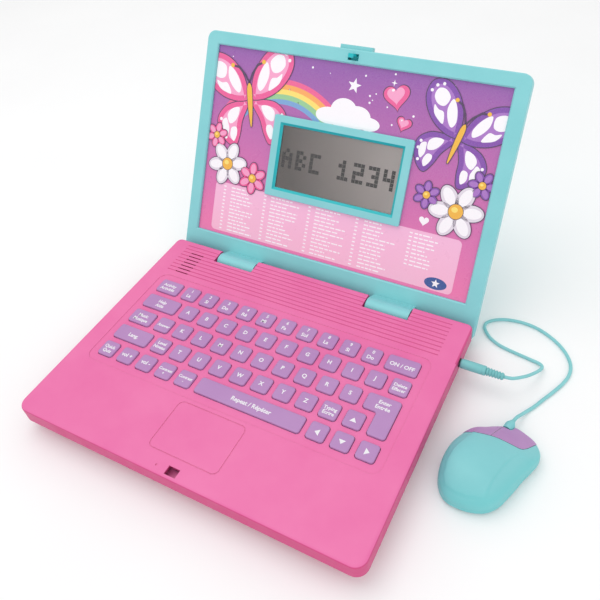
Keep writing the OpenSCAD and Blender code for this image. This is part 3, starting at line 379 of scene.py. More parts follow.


# painted shade: the case's sides and the grooves across the rear of the deck turn a deeper pink
shell_pink = moulded("shell_pink", PINK, 0.40, second=SHADE_PINK, mask=band_and_groove_shade)
shell_turquoise = moulded("shell_turquoise", TURQUOISE, 0.36)
# painted shade: the latch window and what shows in it turn a deeper teal
lid_turquoise = moulded("lid_turquoise", TURQUOISE, 0.36, second=SHADE_TEAL, mask=latch_window_shade)
key_purple = moulded("key_purple", PURPLE, 0.45, 0.3)
black_rubber = rubber("black_rubber", (0.015, 0.015, 0.016))
white_rubber = rubber("white_rubber", (0.62, 0.62, 0.66), 0.6)
steel = plated_steel()
black_plastic = moulded("black_plastic", (0.02, 0.02, 0.022), 0.5, 0.2)
# painted shade: the bevel round the screen turns a deeper teal
bezel_turquoise = moulded("bezel_turquoise", TURQUOISE, 0.36, second=SHADE_TEAL, mask=screen_bevel_shade)

paint(shell_pink, "base_top_shell", "base_bottom_shell", "battery_door")
paint(lid_turquoise, "lid_front_frame", "lid_latch")
paint(shell_turquoise, "lid_rear_cover", "mouse_top_shell",
      "mouse_base_shell", "mouse_strain_relief", "jack_plug", "plug_strain_relief", "mouse_cord")
paint(key_purple, "mouse_button_left", "mouse_button_right",
      *[n for n in NODES if n.endswith(("_key", "_keys"))])
paint(black_rubber, "rubber_feet", "mouse_feet")
paint(white_rubber, "dome_mat")
paint(steel, "case_screws", "lid_screws", "battery_door_screw", "mouse_screw",
      "hinge_pin_left", "hinge_pin_right", "battery_contacts")
paint(black_plastic, "jack_socket")
paint(moulded("speaker_cone", (0.17, 0.022, 0.075), 0.6, 0.2), "speaker")
paint(bezel_turquoise, "screen_bezel")
paint(circuit_board(), "main_board", "lcd_board", "mouse_board")
paint(battery_skin(), "battery_cells")
paint(red_lens(), "mouse_lens")


# ---------------------------------------------------------------- mesh helpers

def new_object(name, verts, faces, materials, body, smooth=True, picks=None):
    """A mesh object at the origin that may ride on a body; picks gives each face's material slot."""
    mesh = bpy.data.meshes.new(name)
    mesh.from_pydata([tuple(v) for v in verts], [], faces)
    for material in materials:
        mesh.materials.append(material)
    if picks:
        mesh.polygons.foreach_set("material_index", picks)
    mesh.polygons.foreach_set("use_smooth", [smooth] * len(mesh.polygons))
    mesh.update()
    thing = bpy.data.objects.new(name, mesh)
    bpy.context.scene.collection.objects.link(thing)
    if body:
        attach(thing, body)
    return thing


def sharpen(thing, degrees):
    """Keeps edges steeper than the angle crisp on a smooth mesh."""
    mesh = bmesh.new()
    mesh.from_mesh(thing.data)
    limit = math.radians(degrees)
    for edge in mesh.edges:
        if len(edge.link_faces) == 2 and edge.calc_face_angle(0) > limit:
            edge.smooth = False
    mesh.to_mesh(thing.data)
    mesh.free()


def stand_in(thing, node, degrees):
    """Keeps the piece's edges crisp, and puts it in place of a node of the frame."""
    sharpen(thing, degrees)
    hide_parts(node)


class Parts:
    """Collects closed pieces of one mesh."""

    def __init__(self):
        self.verts, self.faces, self.picks = [], [], []

    def add(self, verts, faces, pick=0):
        start = len(self.verts)
        self.verts += [tuple(v) for v in verts]
        self.faces += [tuple(start + i for i in face) for face in faces]
        self.picks += [pick] * len(faces)

    def loft(self, rings):
        """Closed rings of equal length, joined in order, with flat ends."""
        n = len(rings[0])
        faces = [(k * n + i, k * n + (i + 1) % n, (k + 1) * n + (i + 1) % n, (k + 1) * n + i)
                 for k in range(len(rings) - 1) for i in range(n)]
        faces.append(tuple(reversed(range(n))))
        faces.append(tuple((len(rings) - 1) * n + i for i in range(n)))
        self.add([p for ring in rings for p in ring], faces)

    def make(self, name, materials, body, smooth=True):
        return new_object(name, self.verts, self.faces, materials, body, smooth, self.picks)


def lofted(rings):
    parts = Parts()
    parts.loft(rings)
    return parts


def rounded(corners, radius, steps=5):
    """A closed outline with rounded corners; corners run anticlockwise and may turn inward."""
    points = []
    n = len(corners)
    for i, corner in enumerate(corners):
        here = Vector(corner)
        back = (Vector(corners[i - 1]) - here).normalized()
        ahead = (Vector(corners[(i + 1) % n]) - here).normalized()
        centre = here + (back + ahead) * radius
        start = here + back * radius - centre
        end = here + ahead * radius - centre
        for k in range(steps + 1):
            turn = math.pi / 2 * k / steps
            points.append(centre + start * math.cos(turn) + end * math.sin(turn))
    return points


def box_corners(x0, y0, x1, y1):
    return [(x0, y0), (x1, y0), (x1, y1), (x0, y1)]


def shrink(corners, inset):
    """Moves the sides of a square-cornered outline inward by the inset."""
    n = len(corners)
    result = []
    for i, corner in enumerate(corners):
        here = Vector(corner)
        into = (here - Vector(corners[i - 1])).normalized()
        away = (Vector(corners[(i + 1) % n]) - here).normalized()
        result.append(here + (Vector((-into.y, into.x)) + Vector((-away.y, away.x))) * inset)
    return result


# ---------------------------------------------------------------- keys

KEY_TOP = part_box("space_key")[1].z
KEY_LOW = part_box("space_key")[0].z
FLANGE = 0.9 * MM
FLANGE_T = 0.8 * MM
KEY_CORNER = 2.3 * MM
KEY_SIZE = 14 * MM
KEY_PITCH = 19 * MM
# inset and depth below the top, from the flange to the flat of the cap
KEY_PROFILE = [(0, -3.0), (0, -0.75), (0.06, -0.45), (0.2, -0.2), (0.42, -0.05), (0.75, 0), (2.2, 0.0)]
PRINT_T = 0.03 * MM
LEGEND_WHITE = (0.86, 0.85, 0.88)

# Pad-printed ink: thin pinholes and a slightly uneven film
legend_white = varied("legend_white", (darker(LEGEND_WHITE, 0.05), LEGEND_WHITE), (500, 3),
                      ((900, 2), 0.40, 0.50), ((3000, 2), 4e-6, 0.5, 0))


def add_cap(parts, corners):
    """One key cap: flange under the deck, straight sides and a softly rounded top."""
    def ring(inset, z):
        radius = max(KEY_CORNER - inset, 0.35 * MM)
        return [Vector((p.x, p.y, z)) for p in rounded(shrink(corners, inset), radius)]
    rings = [ring(-FLANGE, KEY_LOW), ring(-FLANGE, KEY_LOW + FLANGE_T), ring(0, KEY_LOW + FLANGE_T)]
    rings += [ring(inset * MM, KEY_TOP + depth * MM) for inset, depth in KEY_PROFILE]
    parts.loft(rings)


def key_rect(node):
    low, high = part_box(node)
    return box_corners(low.x + FLANGE, low.y + FLANGE, high.x - FLANGE, high.y - FLANGE)


def letter_parts(text, size, bold):
    """The flat faces of a line of text, centred on the origin, in metres."""
    curve = bpy.data.curves.new("line", "FONT")
    curve.body = text
    curve.size = size
    curve.offset = bold * size
    curve.align_x = "CENTER"
    curve.align_y = "CENTER"
    curve.resolution_u = 3
    holder = bpy.data.objects.new("line", curve)
    mesh = bpy.data.meshes.new_from_object(holder)
    verts = [v.co.copy() for v in mesh.vertices]
    faces = [tuple(p.vertices) for p in mesh.polygons]
    bpy.data.objects.remove(holder)
    bpy.data.curves.remove(curve)
    bpy.data.meshes.remove(mesh)
    return verts, faces


def slab(verts, faces, thickness, place):
    """Makes flat faces into a thin closed plate and puts it in place."""
    edges = dict.fromkeys(edge for face in faces for edge in zip(face, face[1:] + face[:1]))
    n = len(verts)
    top = [place(Vector((v.x, v.y, thickness))) for v in verts]
    low = [place(Vector((v.x, v.y, -thickness))) for v in verts]
    plates = [tuple(face) for face in faces] + [tuple(n + i for i in reversed(face)) for face in faces]
    sides = [(a, n + a, n + b, b) for a, b in edges if (b, a) not in edges]
    return top + low, plates + sides


def write(parts, text, size, x, y, bold=0.026):
    verts, faces = letter_parts(text, size * MM, bold)
    parts.add(*slab(verts, faces, PRINT_T, lambda v: Vector((x + v.x, y + v.y, KEY_TOP + v.z))))


ARROW = [(1.9, 0), (-1.6, 2.6), (-1.6, -2.6)]


def arrow(parts, x, y, turn):
    points = [Matrix.Rotation(math.radians(turn), 2) @ mm(*corner) for corner in ARROW]
    parts.add(*slab(points, [(0, 1, 2)], PRINT_T, lambda v: Vector((x + v.x, y + v.y, KEY_TOP + v.z))))


NOTES = ["La", "Si", "Do", "Ré", "Mi", "Fa", "Sol", "La", "Si", "Do"]
PLAIN_ROWS = [("number_keys", "number_row", "1234567890"),
              ("upper_letter_keys", "upper_letter_row", "ABCDEFGHIJ"),
              ("middle_letter_keys", "middle_letter_row", "KLMNOPQRS"),
              ("lower_letter_keys", "lower_letter_row", "TUVWXYZ")]
# name, lines of the legend, letter size, shift of the legend from the middle of the key
WORD_KEYS = [
    ("activity", ["Activity", "Activités"], 4.1, (-0.6, -0.6)),
    ("on_off", ["ON / OFF"], 4.7, (0, -1.2)),
    ("help", ["Help", "Aide"], 4.3, (0, -0.8)),
    ("delete", ["Delete", "Effacer"], 3.8, (0, -0.9)),
    ("music", ["Music", "Musique"], 4.3, (0, -0.8)),
    ("match", ["Answer"], 3.7, (0.6, -1.0)),
    ("language", ["Lang."], 4.8, (0.8, -0.7)),
    ("level", ["Level", "Niveau"], 3.9, (0, 0)),
    ("typing", ["Typing", "Écrire"], 3.9, (0, -0.8)),
    ("quiz", ["Quick", "Quiz"], 4.1, (0, -0.6)),
    ("volume_up", ["vol +"], 4.8, (0, 0)),
    ("volume_down", ["vol -"], 4.8, (0, 0)),
    ("contrast_up", ["Contrast", "+"], 3.4, (0, -1.0)),
    ("contrast_down", ["Contrast", "-"], 3.4, (0, -1.0)),
    ("space", ["Repeat / Répéter"], 4.9, (2.5, -0.6)),
]
ARROW_KEYS = [("up", 90), ("left", 180), ("down", 270), ("right", 0)]
LINE_STEP = 1.03
DIGIT_SIZE, NOTE_SIZE, LETTER_SIZE, ENTER_SIZE = 4.1, 4.7, 4.8, 4.3


def finish_key(parts, legend, node, body):
    stand_in(parts.make(node + "_cap", [key_purple], body), node, 50)
    legend.make(node + "_legend", [legend_white], body, smooth=False)


def single_key(name):
    """The cap of one key, an empty legend and the middle of the key."""
    parts = Parts()
    corners = key_rect(name + "_key")
    add_cap(parts, corners)
    return parts, Parts(), (Vector(corners[0]) + Vector(corners[2])) / 2


def make_keys():
    for node, body, signs in PLAIN_ROWS:
        low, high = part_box(node)
        parts, legend = Parts(), Parts()
        for i, sign in enumerate(signs):
            x0 = low.x + FLANGE + i * KEY_PITCH
            y0 = low.y + FLANGE
            add_cap(parts, box_corners(x0, y0, x0 + KEY_SIZE, y0 + KEY_SIZE))
            x, y = x0 + KEY_SIZE / 2, y0 + KEY_SIZE / 2
            if body == "number_row":
                write(legend, sign, DIGIT_SIZE, x, y + 2.9 * MM)
                write(legend, NOTES[i], NOTE_SIZE, x - 0.5 * MM, y - 2.6 * MM)
            else:
                write(legend, sign, LETTER_SIZE, x - 0.5 * MM, y + 0.1 * MM, 0.03)
        finish_key(parts, legend, node, body)
    for name, lines, size, shift in WORD_KEYS:
        parts, legend, middle = single_key(name)
        x, y = middle + mm(*shift)
        for k, line in enumerate(lines):
            write(legend, line, size, x, y + size * LINE_STEP * ((len(lines) - 1) / 2 - k) * MM)
        finish_key(parts, legend, name + "_key", name + "_button")
    for name, turn in ARROW_KEYS:
        parts, legend, middle = single_key(name)
        arrow(legend, middle.x, middle.y - 0.6 * MM, turn)
        finish_key(parts, legend, name + "_key", name + "_button")
    make_enter()


def make_enter():
    low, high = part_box("enter_key")
    x0, x1 = low.x + FLANGE, high.x - FLANGE
    y0, y1 = low.y + FLANGE, high.y - FLANGE
    leg_x, arm_y = x1 - KEY_SIZE, y1 - KEY_SIZE
    parts, legend = Parts(), Parts()
    add_cap(parts, [(x0, arm_y), (leg_x, arm_y), (leg_x, y0), (x1, y0), (x1, y1), (x0, y1)])
    x, y = (x0 + x1) / 2 + 1.5 * MM, y1 - KEY_SIZE / 2 - 0.6 * MM
    write(legend, "Enter", ENTER_SIZE, x, y + 2.2 * MM)
    write(legend, "Entrée", ENTER_SIZE, x, y - 2.2 * MM)
    finish_key(parts, legend, "enter_key", "enter_button")


make_keys()


# ---------------------------------------------------------------- cord and plug

# the route of part.scad, in millimetres
CORD_ROUTE = [
    (178, 70, 20), (183.4, 71.2, 19.6), (187.8, 75.6, 17.4), (192.2, 82.3, 13.6), (195.8, 89.7, 9.6),
    (198.6, 96.7, 6.2), (199.8, 101.9, 3.9), (198.7, 105.3, 2.6), (195.6, 107.3, 1.8),
    (189.8, 108.6, 1.3), (181.6, 109.9, 1.3), (172.4, 111.4, 1.3), (162.7, 113.8, 1.3),
    (154.4, 118.4, 1.3), (149.1, 124, 1.3), (146.9, 128.3, 1.3), (147.3, 133, 1.3), (151.9, 137.9, 1.3),
    (159.2, 141.7, 1.3), (168.8, 143.8, 1.3), (178, 143.9, 1.3), (187.5, 142.1, 1.3),
    (197.4, 137.8, 1.3), (206.7, 131.6, 1.3), (213.9, 124.1, 1.3), (218.8, 115.1, 1.3),
    (219.8, 105.3, 1.3), (217.3, 95.6, 1.3), (213, 85.9, 1.3), (207.6, 75.5, 1.3), (203, 66.5, 1.3),
    (199.3, 60.2, 1.9), (196.6, 54, 4.4), (194.6, 48.6, 7.1), (193.2, 43.8, 7.8)]
CORD_D = 2.6 * MM
CORD_SIDES = 20
CORD_STEPS = 6


def smooth_path(points, steps, closed=False):
    """A smooth curve through the points, and back to the first one when it is closed."""
    path = []
    last = len(points) - 1
    for i in range(len(points) if closed else last):
        around = range(i - 1, i + 3)
        near = [points[k % len(points)] if closed else points[min(max(k, 0), last)] for k in around]
        path += [spline(*near, k / steps) for k in range(steps)]
    return path if closed else path + [points[-1]]


def tube(path, diameter, sides):
    """Rings along a path, turned as little as possible between points."""
    across = Vector((0, 0, 1)).cross(path[1] - path[0]).normalized()
    rings = []
    for i, point in enumerate(path):
        ahead = (path[min(i + 1, len(path) - 1)] - path[max(i - 1, 0)]).normalized()
        across = (across - ahead * across.dot(ahead)).normalized()
        above = ahead.cross(across)
        rings.append([point + (across * math.cos(a) + above * math.sin(a)) * diameter / 2
                      for a in (2 * math.pi * k / sides for k in range(sides))])
    return rings


def lathe(profile, place, sides=48):
    """A profile of (distance along, radius) turned round the local +X axis."""
    rings = []
    for along, radius in profile:
        rings.append([place @ Vector((along * MM, radius * MM * math.cos(a), radius * MM * math.sin(a)))
                      for a in (2 * math.pi * k / sides for k in range(sides))])
    return lofted(rings)


def cord_plastic(name, colour, rough):
    """Soft PVC: satin, with a faint drawn grain."""
    return varied(name, (darker(colour, 0.06), lighter(colour, 0.03)), (60, 3),
                  ((200, 3), rough - 0.05, rough + 0.07), ((1500, 3), 8e-6, 0.7, 0.15 * MM))


cord_skin = cord_plastic("cord_skin", (0.24, 0.63, 0.65), 0.5)
plug_skin = cord_plastic("plug_skin", (0.18, 0.54, 0.555), 0.48)

# distance along the jack's axis and radius, in millimetres
GRIP_PROFILE = [(144.95, 0.5), (144.95, 2.9), (145.25, 3.35), (145.8, 3.62), (146.6, 3.75), (160.9, 3.75),
                (161.4, 3.7), (161.7, 3.55), (162.0, 3.7), (162.5, 3.75), (163.9, 3.72), (164.3, 3.5),
                (164.5, 3.1), (164.5, 0.5)]
PIN_PROFILE = [(131.0, 0.2), (131.2, 0.8), (131.9, 1.25), (132.9, 1.3), (133.7, 0.95), (134.0, 0.95),
               (134.5, 1.7), (136.5, 1.75), (136.5, 1.7), (144.95, 1.7), (144.95, 0.4)]
RELIEF_RINGS, RELIEF_PITCH, RELIEF_FROM = 6, 2.15, 164.9
RELIEF_RADIUS, RELIEF_TAPER, RELIEF_CORE = 3.2, 0.07, 2.35


def relief_profile():
    """The ribbed sleeve behind the grip: rings on a thin core, each slightly smaller than the last."""
    profile = [(164.5, 0.4), (164.5, 2.6)]
    for k in range(RELIEF_RINGS):
        at = RELIEF_FROM + k * RELIEF_PITCH
        radius = RELIEF_RADIUS - RELIEF_TAPER * k
        profile += [(at, RELIEF_CORE), (at + 0.1, radius - 0.25), (at + 0.35, radius), (at + 1.25, radius),
                    (at + 1.5, radius - 0.25), (at + 1.6, RELIEF_CORE), (at + 2.1, 2.3)]
    return profile + [(177.9, 2.0), (178.0, 0.4)]


def turned(name, profile, material, sides=48):
    """One turned piece of the plug."""
    parts = lathe(profile, Matrix.Translation((0, JACK_AXIS.y, JACK_AXIS.z)), sides)
    return parts.make(name, [material], "plug")


def make_cord():
    route = [mm(*p) for p in CORD_ROUTE]
    path = smooth_path(route, CORD_STEPS)
    cord = lofted(tube(path, CORD_D, CORD_SIDES)).make("mouse_lead", [cord_skin], None)
    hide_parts("mouse_cord")
    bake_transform(cord)

    grip = turned("plug_grip", GRIP_PROFILE, plug_skin)
    stand_in(grip, "jack_plug", 45)
    pin = turned("plug_pin", PIN_PROFILE, steel, 32)
    sharpen(pin, 30)
    relief = turned("plug_relief", relief_profile(), plug_skin)
    stand_in(relief, "plug_strain_relief", 45)


make_cord()


# ---------------------------------------------------------------- mouse

# radius of the outline at every 15 degrees, starting from the mouse's right side
MOUSE_RADII = [23.8, 25.2, 29.6, 36.7, 38.9, 38, 36.8, 31.8, 28.5, 27.8, 26.9, 25.9,
               26.3, 27.4, 29.4, 32.6, 36.5, 38.5, 36.7, 34.7, 32.6, 29.3, 25.8, 24]
MOUSE_H, MOUSE_MID_Y, MOUSE_PEAK_Y = 26.4, -3.5, -17.4
MOUSE_FRONT_Y, MOUSE_REAR_Y = 33.9, -41.1
MOUSE_DOME = 2.9
MOUSE_DROP = (16.8, 7.3)
SEAM_Z, BUTTON_LOW_Z = 6.4, 7.4
BUTTON_EDGE = [(-40, 3.5), (-22, 4.7), (-15.1, 6.6), (-6.1, 10.4), (0.2, 11.9), (6.5, 12.8),
               (13.4, 13.8), (15.6, 15.1), (17.4, 19.2), (19.3, 28.6), (21, 60), (-40, 60)]
SPLIT = ((-6.4, 0), (-5, 45))
BUTTON_GAP, BUTTON_TRAVEL = 0.3, 0.8
TALL, PAST_SPLIT = 60, 20
NUB_AT, NUB_L, NUB_R = (-2.6, 28.5, 7.8), 8.5, 3.6
MOUSE_SIDES, MOUSE_RINGS = 144, 48
# a darker turquoise, painted shade for the mouse's steep sides
MOUSE_FLANK_SHADE = (0.175, 0.60, 0.62)
CREASE_DEPTH = 1.0


def mouse_rim(turn, inset=0.0):
    """A point on the mouse's outline in its own frame, in millimetres."""
    n = len(MOUSE_RADII)
    at = turn / (2 * math.pi) * n
    i = math.floor(at)
    radius = spline(*(MOUSE_RADII[(i + k) % n] for k in (-1, 0, 1, 2)), at - i)
    return Vector(((radius - inset) * math.cos(turn), MOUSE_MID_Y + (radius - inset) * math.sin(turn)))


def mouse_roof(y):
    away = y - MOUSE_PEAK_Y
    front, rear = MOUSE_FRONT_Y - MOUSE_PEAK_Y, MOUSE_PEAK_Y - MOUSE_REAR_Y
    return MOUSE_H - (MOUSE_DROP[0] * (away / front) ** 2 if away > 0 else MOUSE_DROP[1] * (away / rear) ** 2)


def smoothstep(value):
    value = min(max(value, 0.0), 1.0)
    return value * value * (3 - 2 * value)


LEFT_CREASE = [(-17.5, 6), (-18.8, -3), (-20.3, -13.5), (-19.6, -22), (-17.1, -30.9), (-13.0, -37.0)]
RIGHT_CREASE = [(16.4, 14), (15.6, 9), (13.8, 1.7), (12.7, -8.1), (12.6, -18.1), (13.2, -26.1), (14.8, -33)]
REAR_CREASE = [(-16, -36.2), (-10, -37.6), (-4.5, -37.9), (2.6, -36.4), (10.4, -33.2), (17, -29.4)]


def follow(line, value, axis):
    """The other coordinate of a crease where it crosses the value."""
    pairs = sorted((p[axis], p[1 - axis]) for p in line)
    if value <= pairs[0][0]:
        return pairs[0][1]
    for (a, u), (b, v) in zip(pairs, pairs[1:]):
        if value <= b:
            return u + (v - u) * smoothstep((value - a) / (b - a))
    return pairs[-1][1]


def bonnet(x, y):
    """1 on the mouse's raised middle panel and 0 outside it, with soft edges."""
    soft = 1.6
    left = smoothstep((x - follow(LEFT_CREASE, y, 1)) / soft + 0.5)
    right = smoothstep((follow(RIGHT_CREASE, y, 1) - x) / soft + 0.5)
    rear = smoothstep((y - follow(REAR_CREASE, x, 0)) / soft + 0.5)
    return left * right * rear


def dome_solid(low):
    """The mouse's domed body down to a flat bottom, as a closed solid in its own frame."""
    loops = []
    for i in range(MOUSE_RINGS):
        turn_up = math.pi / 2 * i / MOUSE_RINGS
        narrow = math.cos(turn_up) ** (2 / MOUSE_DOME)
        rise = math.sin(turn_up) ** (2 / MOUSE_DOME)
        loop = []
        for j in range(MOUSE_SIDES):
            rim = mouse_rim(2 * math.pi * (j + 0.5) / MOUSE_SIDES)
            x, y = rim.x * narrow, MOUSE_PEAK_Y + (rim.y - MOUSE_PEAK_Y) * narrow
            # the crease fades out towards the rim and ahead of the buttons
            fade = smoothstep(rise * 2 - 0.4) * smoothstep((13 - y) / 6)
            sunk = CREASE_DEPTH * (1 - bonnet(x, y)) * fade
            loop.append(mm(x, y, low + (mouse_roof(y) - low) * rise - sunk))
        loops.append(loop)
    return lofted(loops)


def local_solid(name, parts):
    """A closed mesh from parts in the mouse's own frame."""
    thing = new_object(name, parts.verts, parts.faces, [], None)
    for vertex in thing.data.vertices:
        vertex.co = MOUSE_FRAME @ vertex.co
    mesh = bmesh.new()
    mesh.from_mesh(thing.data)
    bmesh.ops.recalc_face_normals(mesh, faces=mesh.faces)
    mesh.to_mesh(thing.data)
    mesh.free()
    return thing


def prism(points, low, high):
    return lofted([[mm(x, y, z) for x, y in points] for z in (low, high)])


def cut(thing, cutter, operation):
    """Applies a boolean and removes the cutter."""
    modifier = thing.modifiers.new("cut", "BOOLEAN")
    modifier.operation = operation
    modifier.solver = "EXACT"
    modifier.object = cutter
    graph = bpy.context.evaluated_depsgraph_get()
    mesh = bpy.data.meshes.new_from_object(thing.evaluated_get(graph))
    thing.modifiers.clear()
    thing.data = mesh
    bpy.data.objects.remove(cutter)


def dress(thing, material, body, node):
    """Finishes a piece of the mouse after its cuts."""
    thing.data.materials.clear()
    thing.data.materials.append(material)
    for polygon in thing.data.polygons:
        polygon.material_index = 0
        polygon.use_smooth = True
    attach(thing, body)
    stand_in(thing, node, 40)


def rounded_poly(points, radius, steps=6):
    """Softens the corners of an open-angled polygon."""
    result = []
    n = len(points)
    for i in range(n):
        here = Vector(points[i])
        back = Vector(points[i - 1]) - here
        ahead = Vector(points[(i + 1) % n]) - here
        reach = min(radius, back.length / 2.2, ahead.length / 2.2)
        a, b = here + back.normalized() * reach, here + ahead.normalized() * reach
        for k in range(steps + 1):
            t = k / steps
            result.append(a.lerp(here, t).lerp(here.lerp(b, t), t))
    return result


def nub_room():
    """Room round the cord's nub for the buttons' travel."""
    radius, lift = NUB_R + BUTTON_GAP, BUTTON_TRAVEL + BUTTON_GAP
    section = [(radius * math.cos(math.radians(a)),
                radius * math.sin(math.radians(a)) + (lift if a <= 180 else 0))
               for a in list(range(0, 181, 10)) + list(range(180, 361, 10))]
    return lofted([[mm(NUB_AT[0] + u, NUB_AT[1] + along, NUB_AT[2] + v) for u, v in section]
                   for along in (-1, 12)])


def split_half(side):
    """Half of the plan to one side of the split between the buttons, as an anticlockwise outline."""
    shift = side * BUTTON_GAP / 2
    (ax, ay), (bx, by) = SPLIT
    lean = (bx - ax) / (by - ay) * PAST_SPLIT
    low, high = ay - PAST_SPLIT, by + PAST_SPLIT
    half = [(ax + shift - lean, low), (bx + shift + lean, high), (side * TALL, high), (side * TALL, low)]
    return half if side < 0 else half[::-1]


def make_mouse_button(side, body, inner):
    word = "left" if side < 0 else "right"
    button = local_solid("mouse_" + word, dome_solid(BUTTON_LOW_Z))
    cut(button, local_solid("area", prism(inner, 0, TALL)), "INTERSECT")
    cut(button, local_solid("room", nub_room()), "DIFFERENCE")
    cut(button, local_solid("half", prism(split_half(side), -5, TALL)), "INTERSECT")
    dress(button, mouse_purple, body, "mouse_button_" + word)


# inset from the outline and height of the tray under the mouse, in millimetres
TRAY_PROFILE = [(6, 1.0), (1.6, 1.0), (0.9, 1.25), (0.4, 1.8), (0.12, 2.6), (0, 3.6), (0, 6.0),
                (0.12, 6.2), (0.4, 6.32), (3.5, 6.35)]
# distance along the nub and radius, in millimetres
NUB_PROFILE = [(0, 0.3), (0, NUB_R - 0.1), (3.8, NUB_R), (4.8, NUB_R - 0.05), (5.6, 3.35), (6.3, 3.0),
               (7.0, 2.6), (7.8, 2.2), (8.3, 2.0), (NUB_L, 1.8), (NUB_L, 0.3)]
BUTTON_MIDDLE = Vector((0, 22))
BUTTON_SHRINK = 0.012


def make_mouse():
    edge = rounded_poly(BUTTON_EDGE, 8)
    top = local_solid("mouse_top", dome_solid(SEAM_Z + 0.05))
    cut(top, local_solid("hole", prism(edge, -5, TALL)), "DIFFERENCE")
    dress(top, mouse_turquoise, "mouse", "mouse_top_shell")
    # the buttons stand back from the edge and from each other by the gap
    inner = [(Vector(p) - BUTTON_MIDDLE) * (1 - BUTTON_SHRINK) + BUTTON_MIDDLE + Vector((0, BUTTON_GAP * 1.1))
             for p in edge]
    make_mouse_button(-1, "mouse_left", inner)
    make_mouse_button(1, "mouse_right", inner)

    loops = []
    for inset, z in TRAY_PROFILE:
        rims = (mouse_rim(2 * math.pi * (j + 0.5) / MOUSE_SIDES, inset) for j in range(MOUSE_SIDES))
        loops.append([mm(p.x, p.y, z) for p in rims])
    tray = local_solid("mouse_tray", lofted(loops))
    dress(tray, mouse_turquoise, "mouse", "mouse_base_shell")

    place = MOUSE_FRAME @ Matrix.Translation(mm(*NUB_AT)) @ Matrix.Rotation(math.pi / 2, 4, "Z")
    nub = lathe(NUB_PROFILE, place).make("mouse_nub", [mouse_turquoise], "mouse")
    stand_in(nub, "mouse_strain_relief", 60)


def flank_shade(s):
    """1 where the mouse's surface falls steeply and 0 on its top; the darker turquoise there is painted
    shade.
    """
    return s.spread(s.axis("Z", s.coords["Normal"]), 1, 0, 0.45, 0.88)


# painted shade: the mouse's steep sides turn a darker turquoise
mouse_turquoise = moulded("mouse_turquoise", darker(TURQUOISE, 0.07), 0.42, 0.5,
                          second=MOUSE_FLANK_SHADE, mask=flank_shade)
# the buttons' edges are lightened more, as a painted highlight along the split between them
mouse_purple = moulded("mouse_purple", PURPLE, 0.42, 0.4, wear_and_highlight=0.4)
make_mouse()


# ---------------------------------------------------------------- picture on the lid

LAYER = 0.035 * MM
PANEL_OUT = -2.6 * MM


def gradient(name, low_colour, high_colour, low_up, high_up):
    """Printed and varnished sheet whose colour turns up the lid, with a fine printing grain."""
    s = Shader(name)
    wave = s.spread(s.noise(9, 2), -6 * MM, 6 * MM)
    height = s.math("ADD", s.along(LID_UP, LID_FOOT), wave)
    share = s.spread(height, 0, 1, low_up * MM, high_up * MM)
    colour = s.mix(share, low_colour, high_colour)
    grain = s.mix(s.spread(s.noise(1400, 2), 0, 0.06), colour, (1, 1, 1))
    s.colour(grain)
    s.shine(s.spread(s.noise(120, 3), 0.26, 0.36))
    s.set(coat_weight=0.25, coat_roughness=0.12)
    s.bump(s.noise(900, 2), 4e-6, 0.5)
    return s.material


# each ink's colour at the foot of the picture and at its top
INKS = {
    "list": ((250, 186, 214), (246, 186, 220)), "list_ink": ((255, 244, 250), (255, 246, 252)),
    "white": ((250, 248, 252), (252, 250, 254)), "shade": ((222, 214, 226), (228, 222, 232)),
    "hot_pink": ((235, 75, 145), (238, 90, 155)), "soft_pink": ((246, 150, 195), (248, 165, 205)),
    "violet": ((125, 60, 165), (130, 70, 172)), "lilac": ((165, 105, 190), (170, 115, 200)),
    "line": ((70, 45, 85), (75, 50, 90)), "gold": ((240, 175, 40), (245, 190, 60)),
    "rainbow_pink": ((240, 95, 150), (240, 95, 150)),
    "rainbow_orange": ((250, 170, 90), (250, 170, 90)), "rainbow_yellow": ((252, 225, 110), (252, 225, 110)),
    "rainbow_green": ((150, 205, 150), (150, 205, 150)), "rainbow_blue": ((120, 165, 215), (120, 165, 215)),
    "navy": ((30, 75, 150), (30, 75, 150))
}
INK_NAMES = list(INKS)
# how far up the lid the inks turn, and the window and the bezel's outline, in millimetres
LIST_INKS_UP = (22, 70)
PICTURE_UP = (22, 190)
WINDOW = (-131.4, 22.3, 131.4, 190.2)
BEZEL_HOLE = (-64.0, 70.0, 64.0, 139.6)


def clip_line(points, axis, limit, keep_less):
    """Cuts a polygon at a straight line across x or y."""
    result = []
    n = len(points)
    for i in range(n):
        a, b = points[i], points[(i + 1) % n]
        in_a = (a[axis] <= limit) == keep_less or a[axis] == limit
        in_b = (b[axis] <= limit) == keep_less or b[axis] == limit
        if in_a:
            result.append(a)
        if in_a != in_b:
            t = (limit - a[axis]) / (b[axis] - a[axis])
            result.append(Vector((a[0] + (b[0] - a[0]) * t, a[1] + (b[1] - a[1]) * t)))
    return result


def clip(points):
    """Keeps what lies in the lid's window."""
    x0, y0, x1, y1 = WINDOW
    for axis, limit, less in ((0, x0, False), (0, x1, True), (1, y0, False), (1, y1, True)):
        points = clip_line(points, axis, limit, less)
        if len(points) < 3:
            return []
    return points


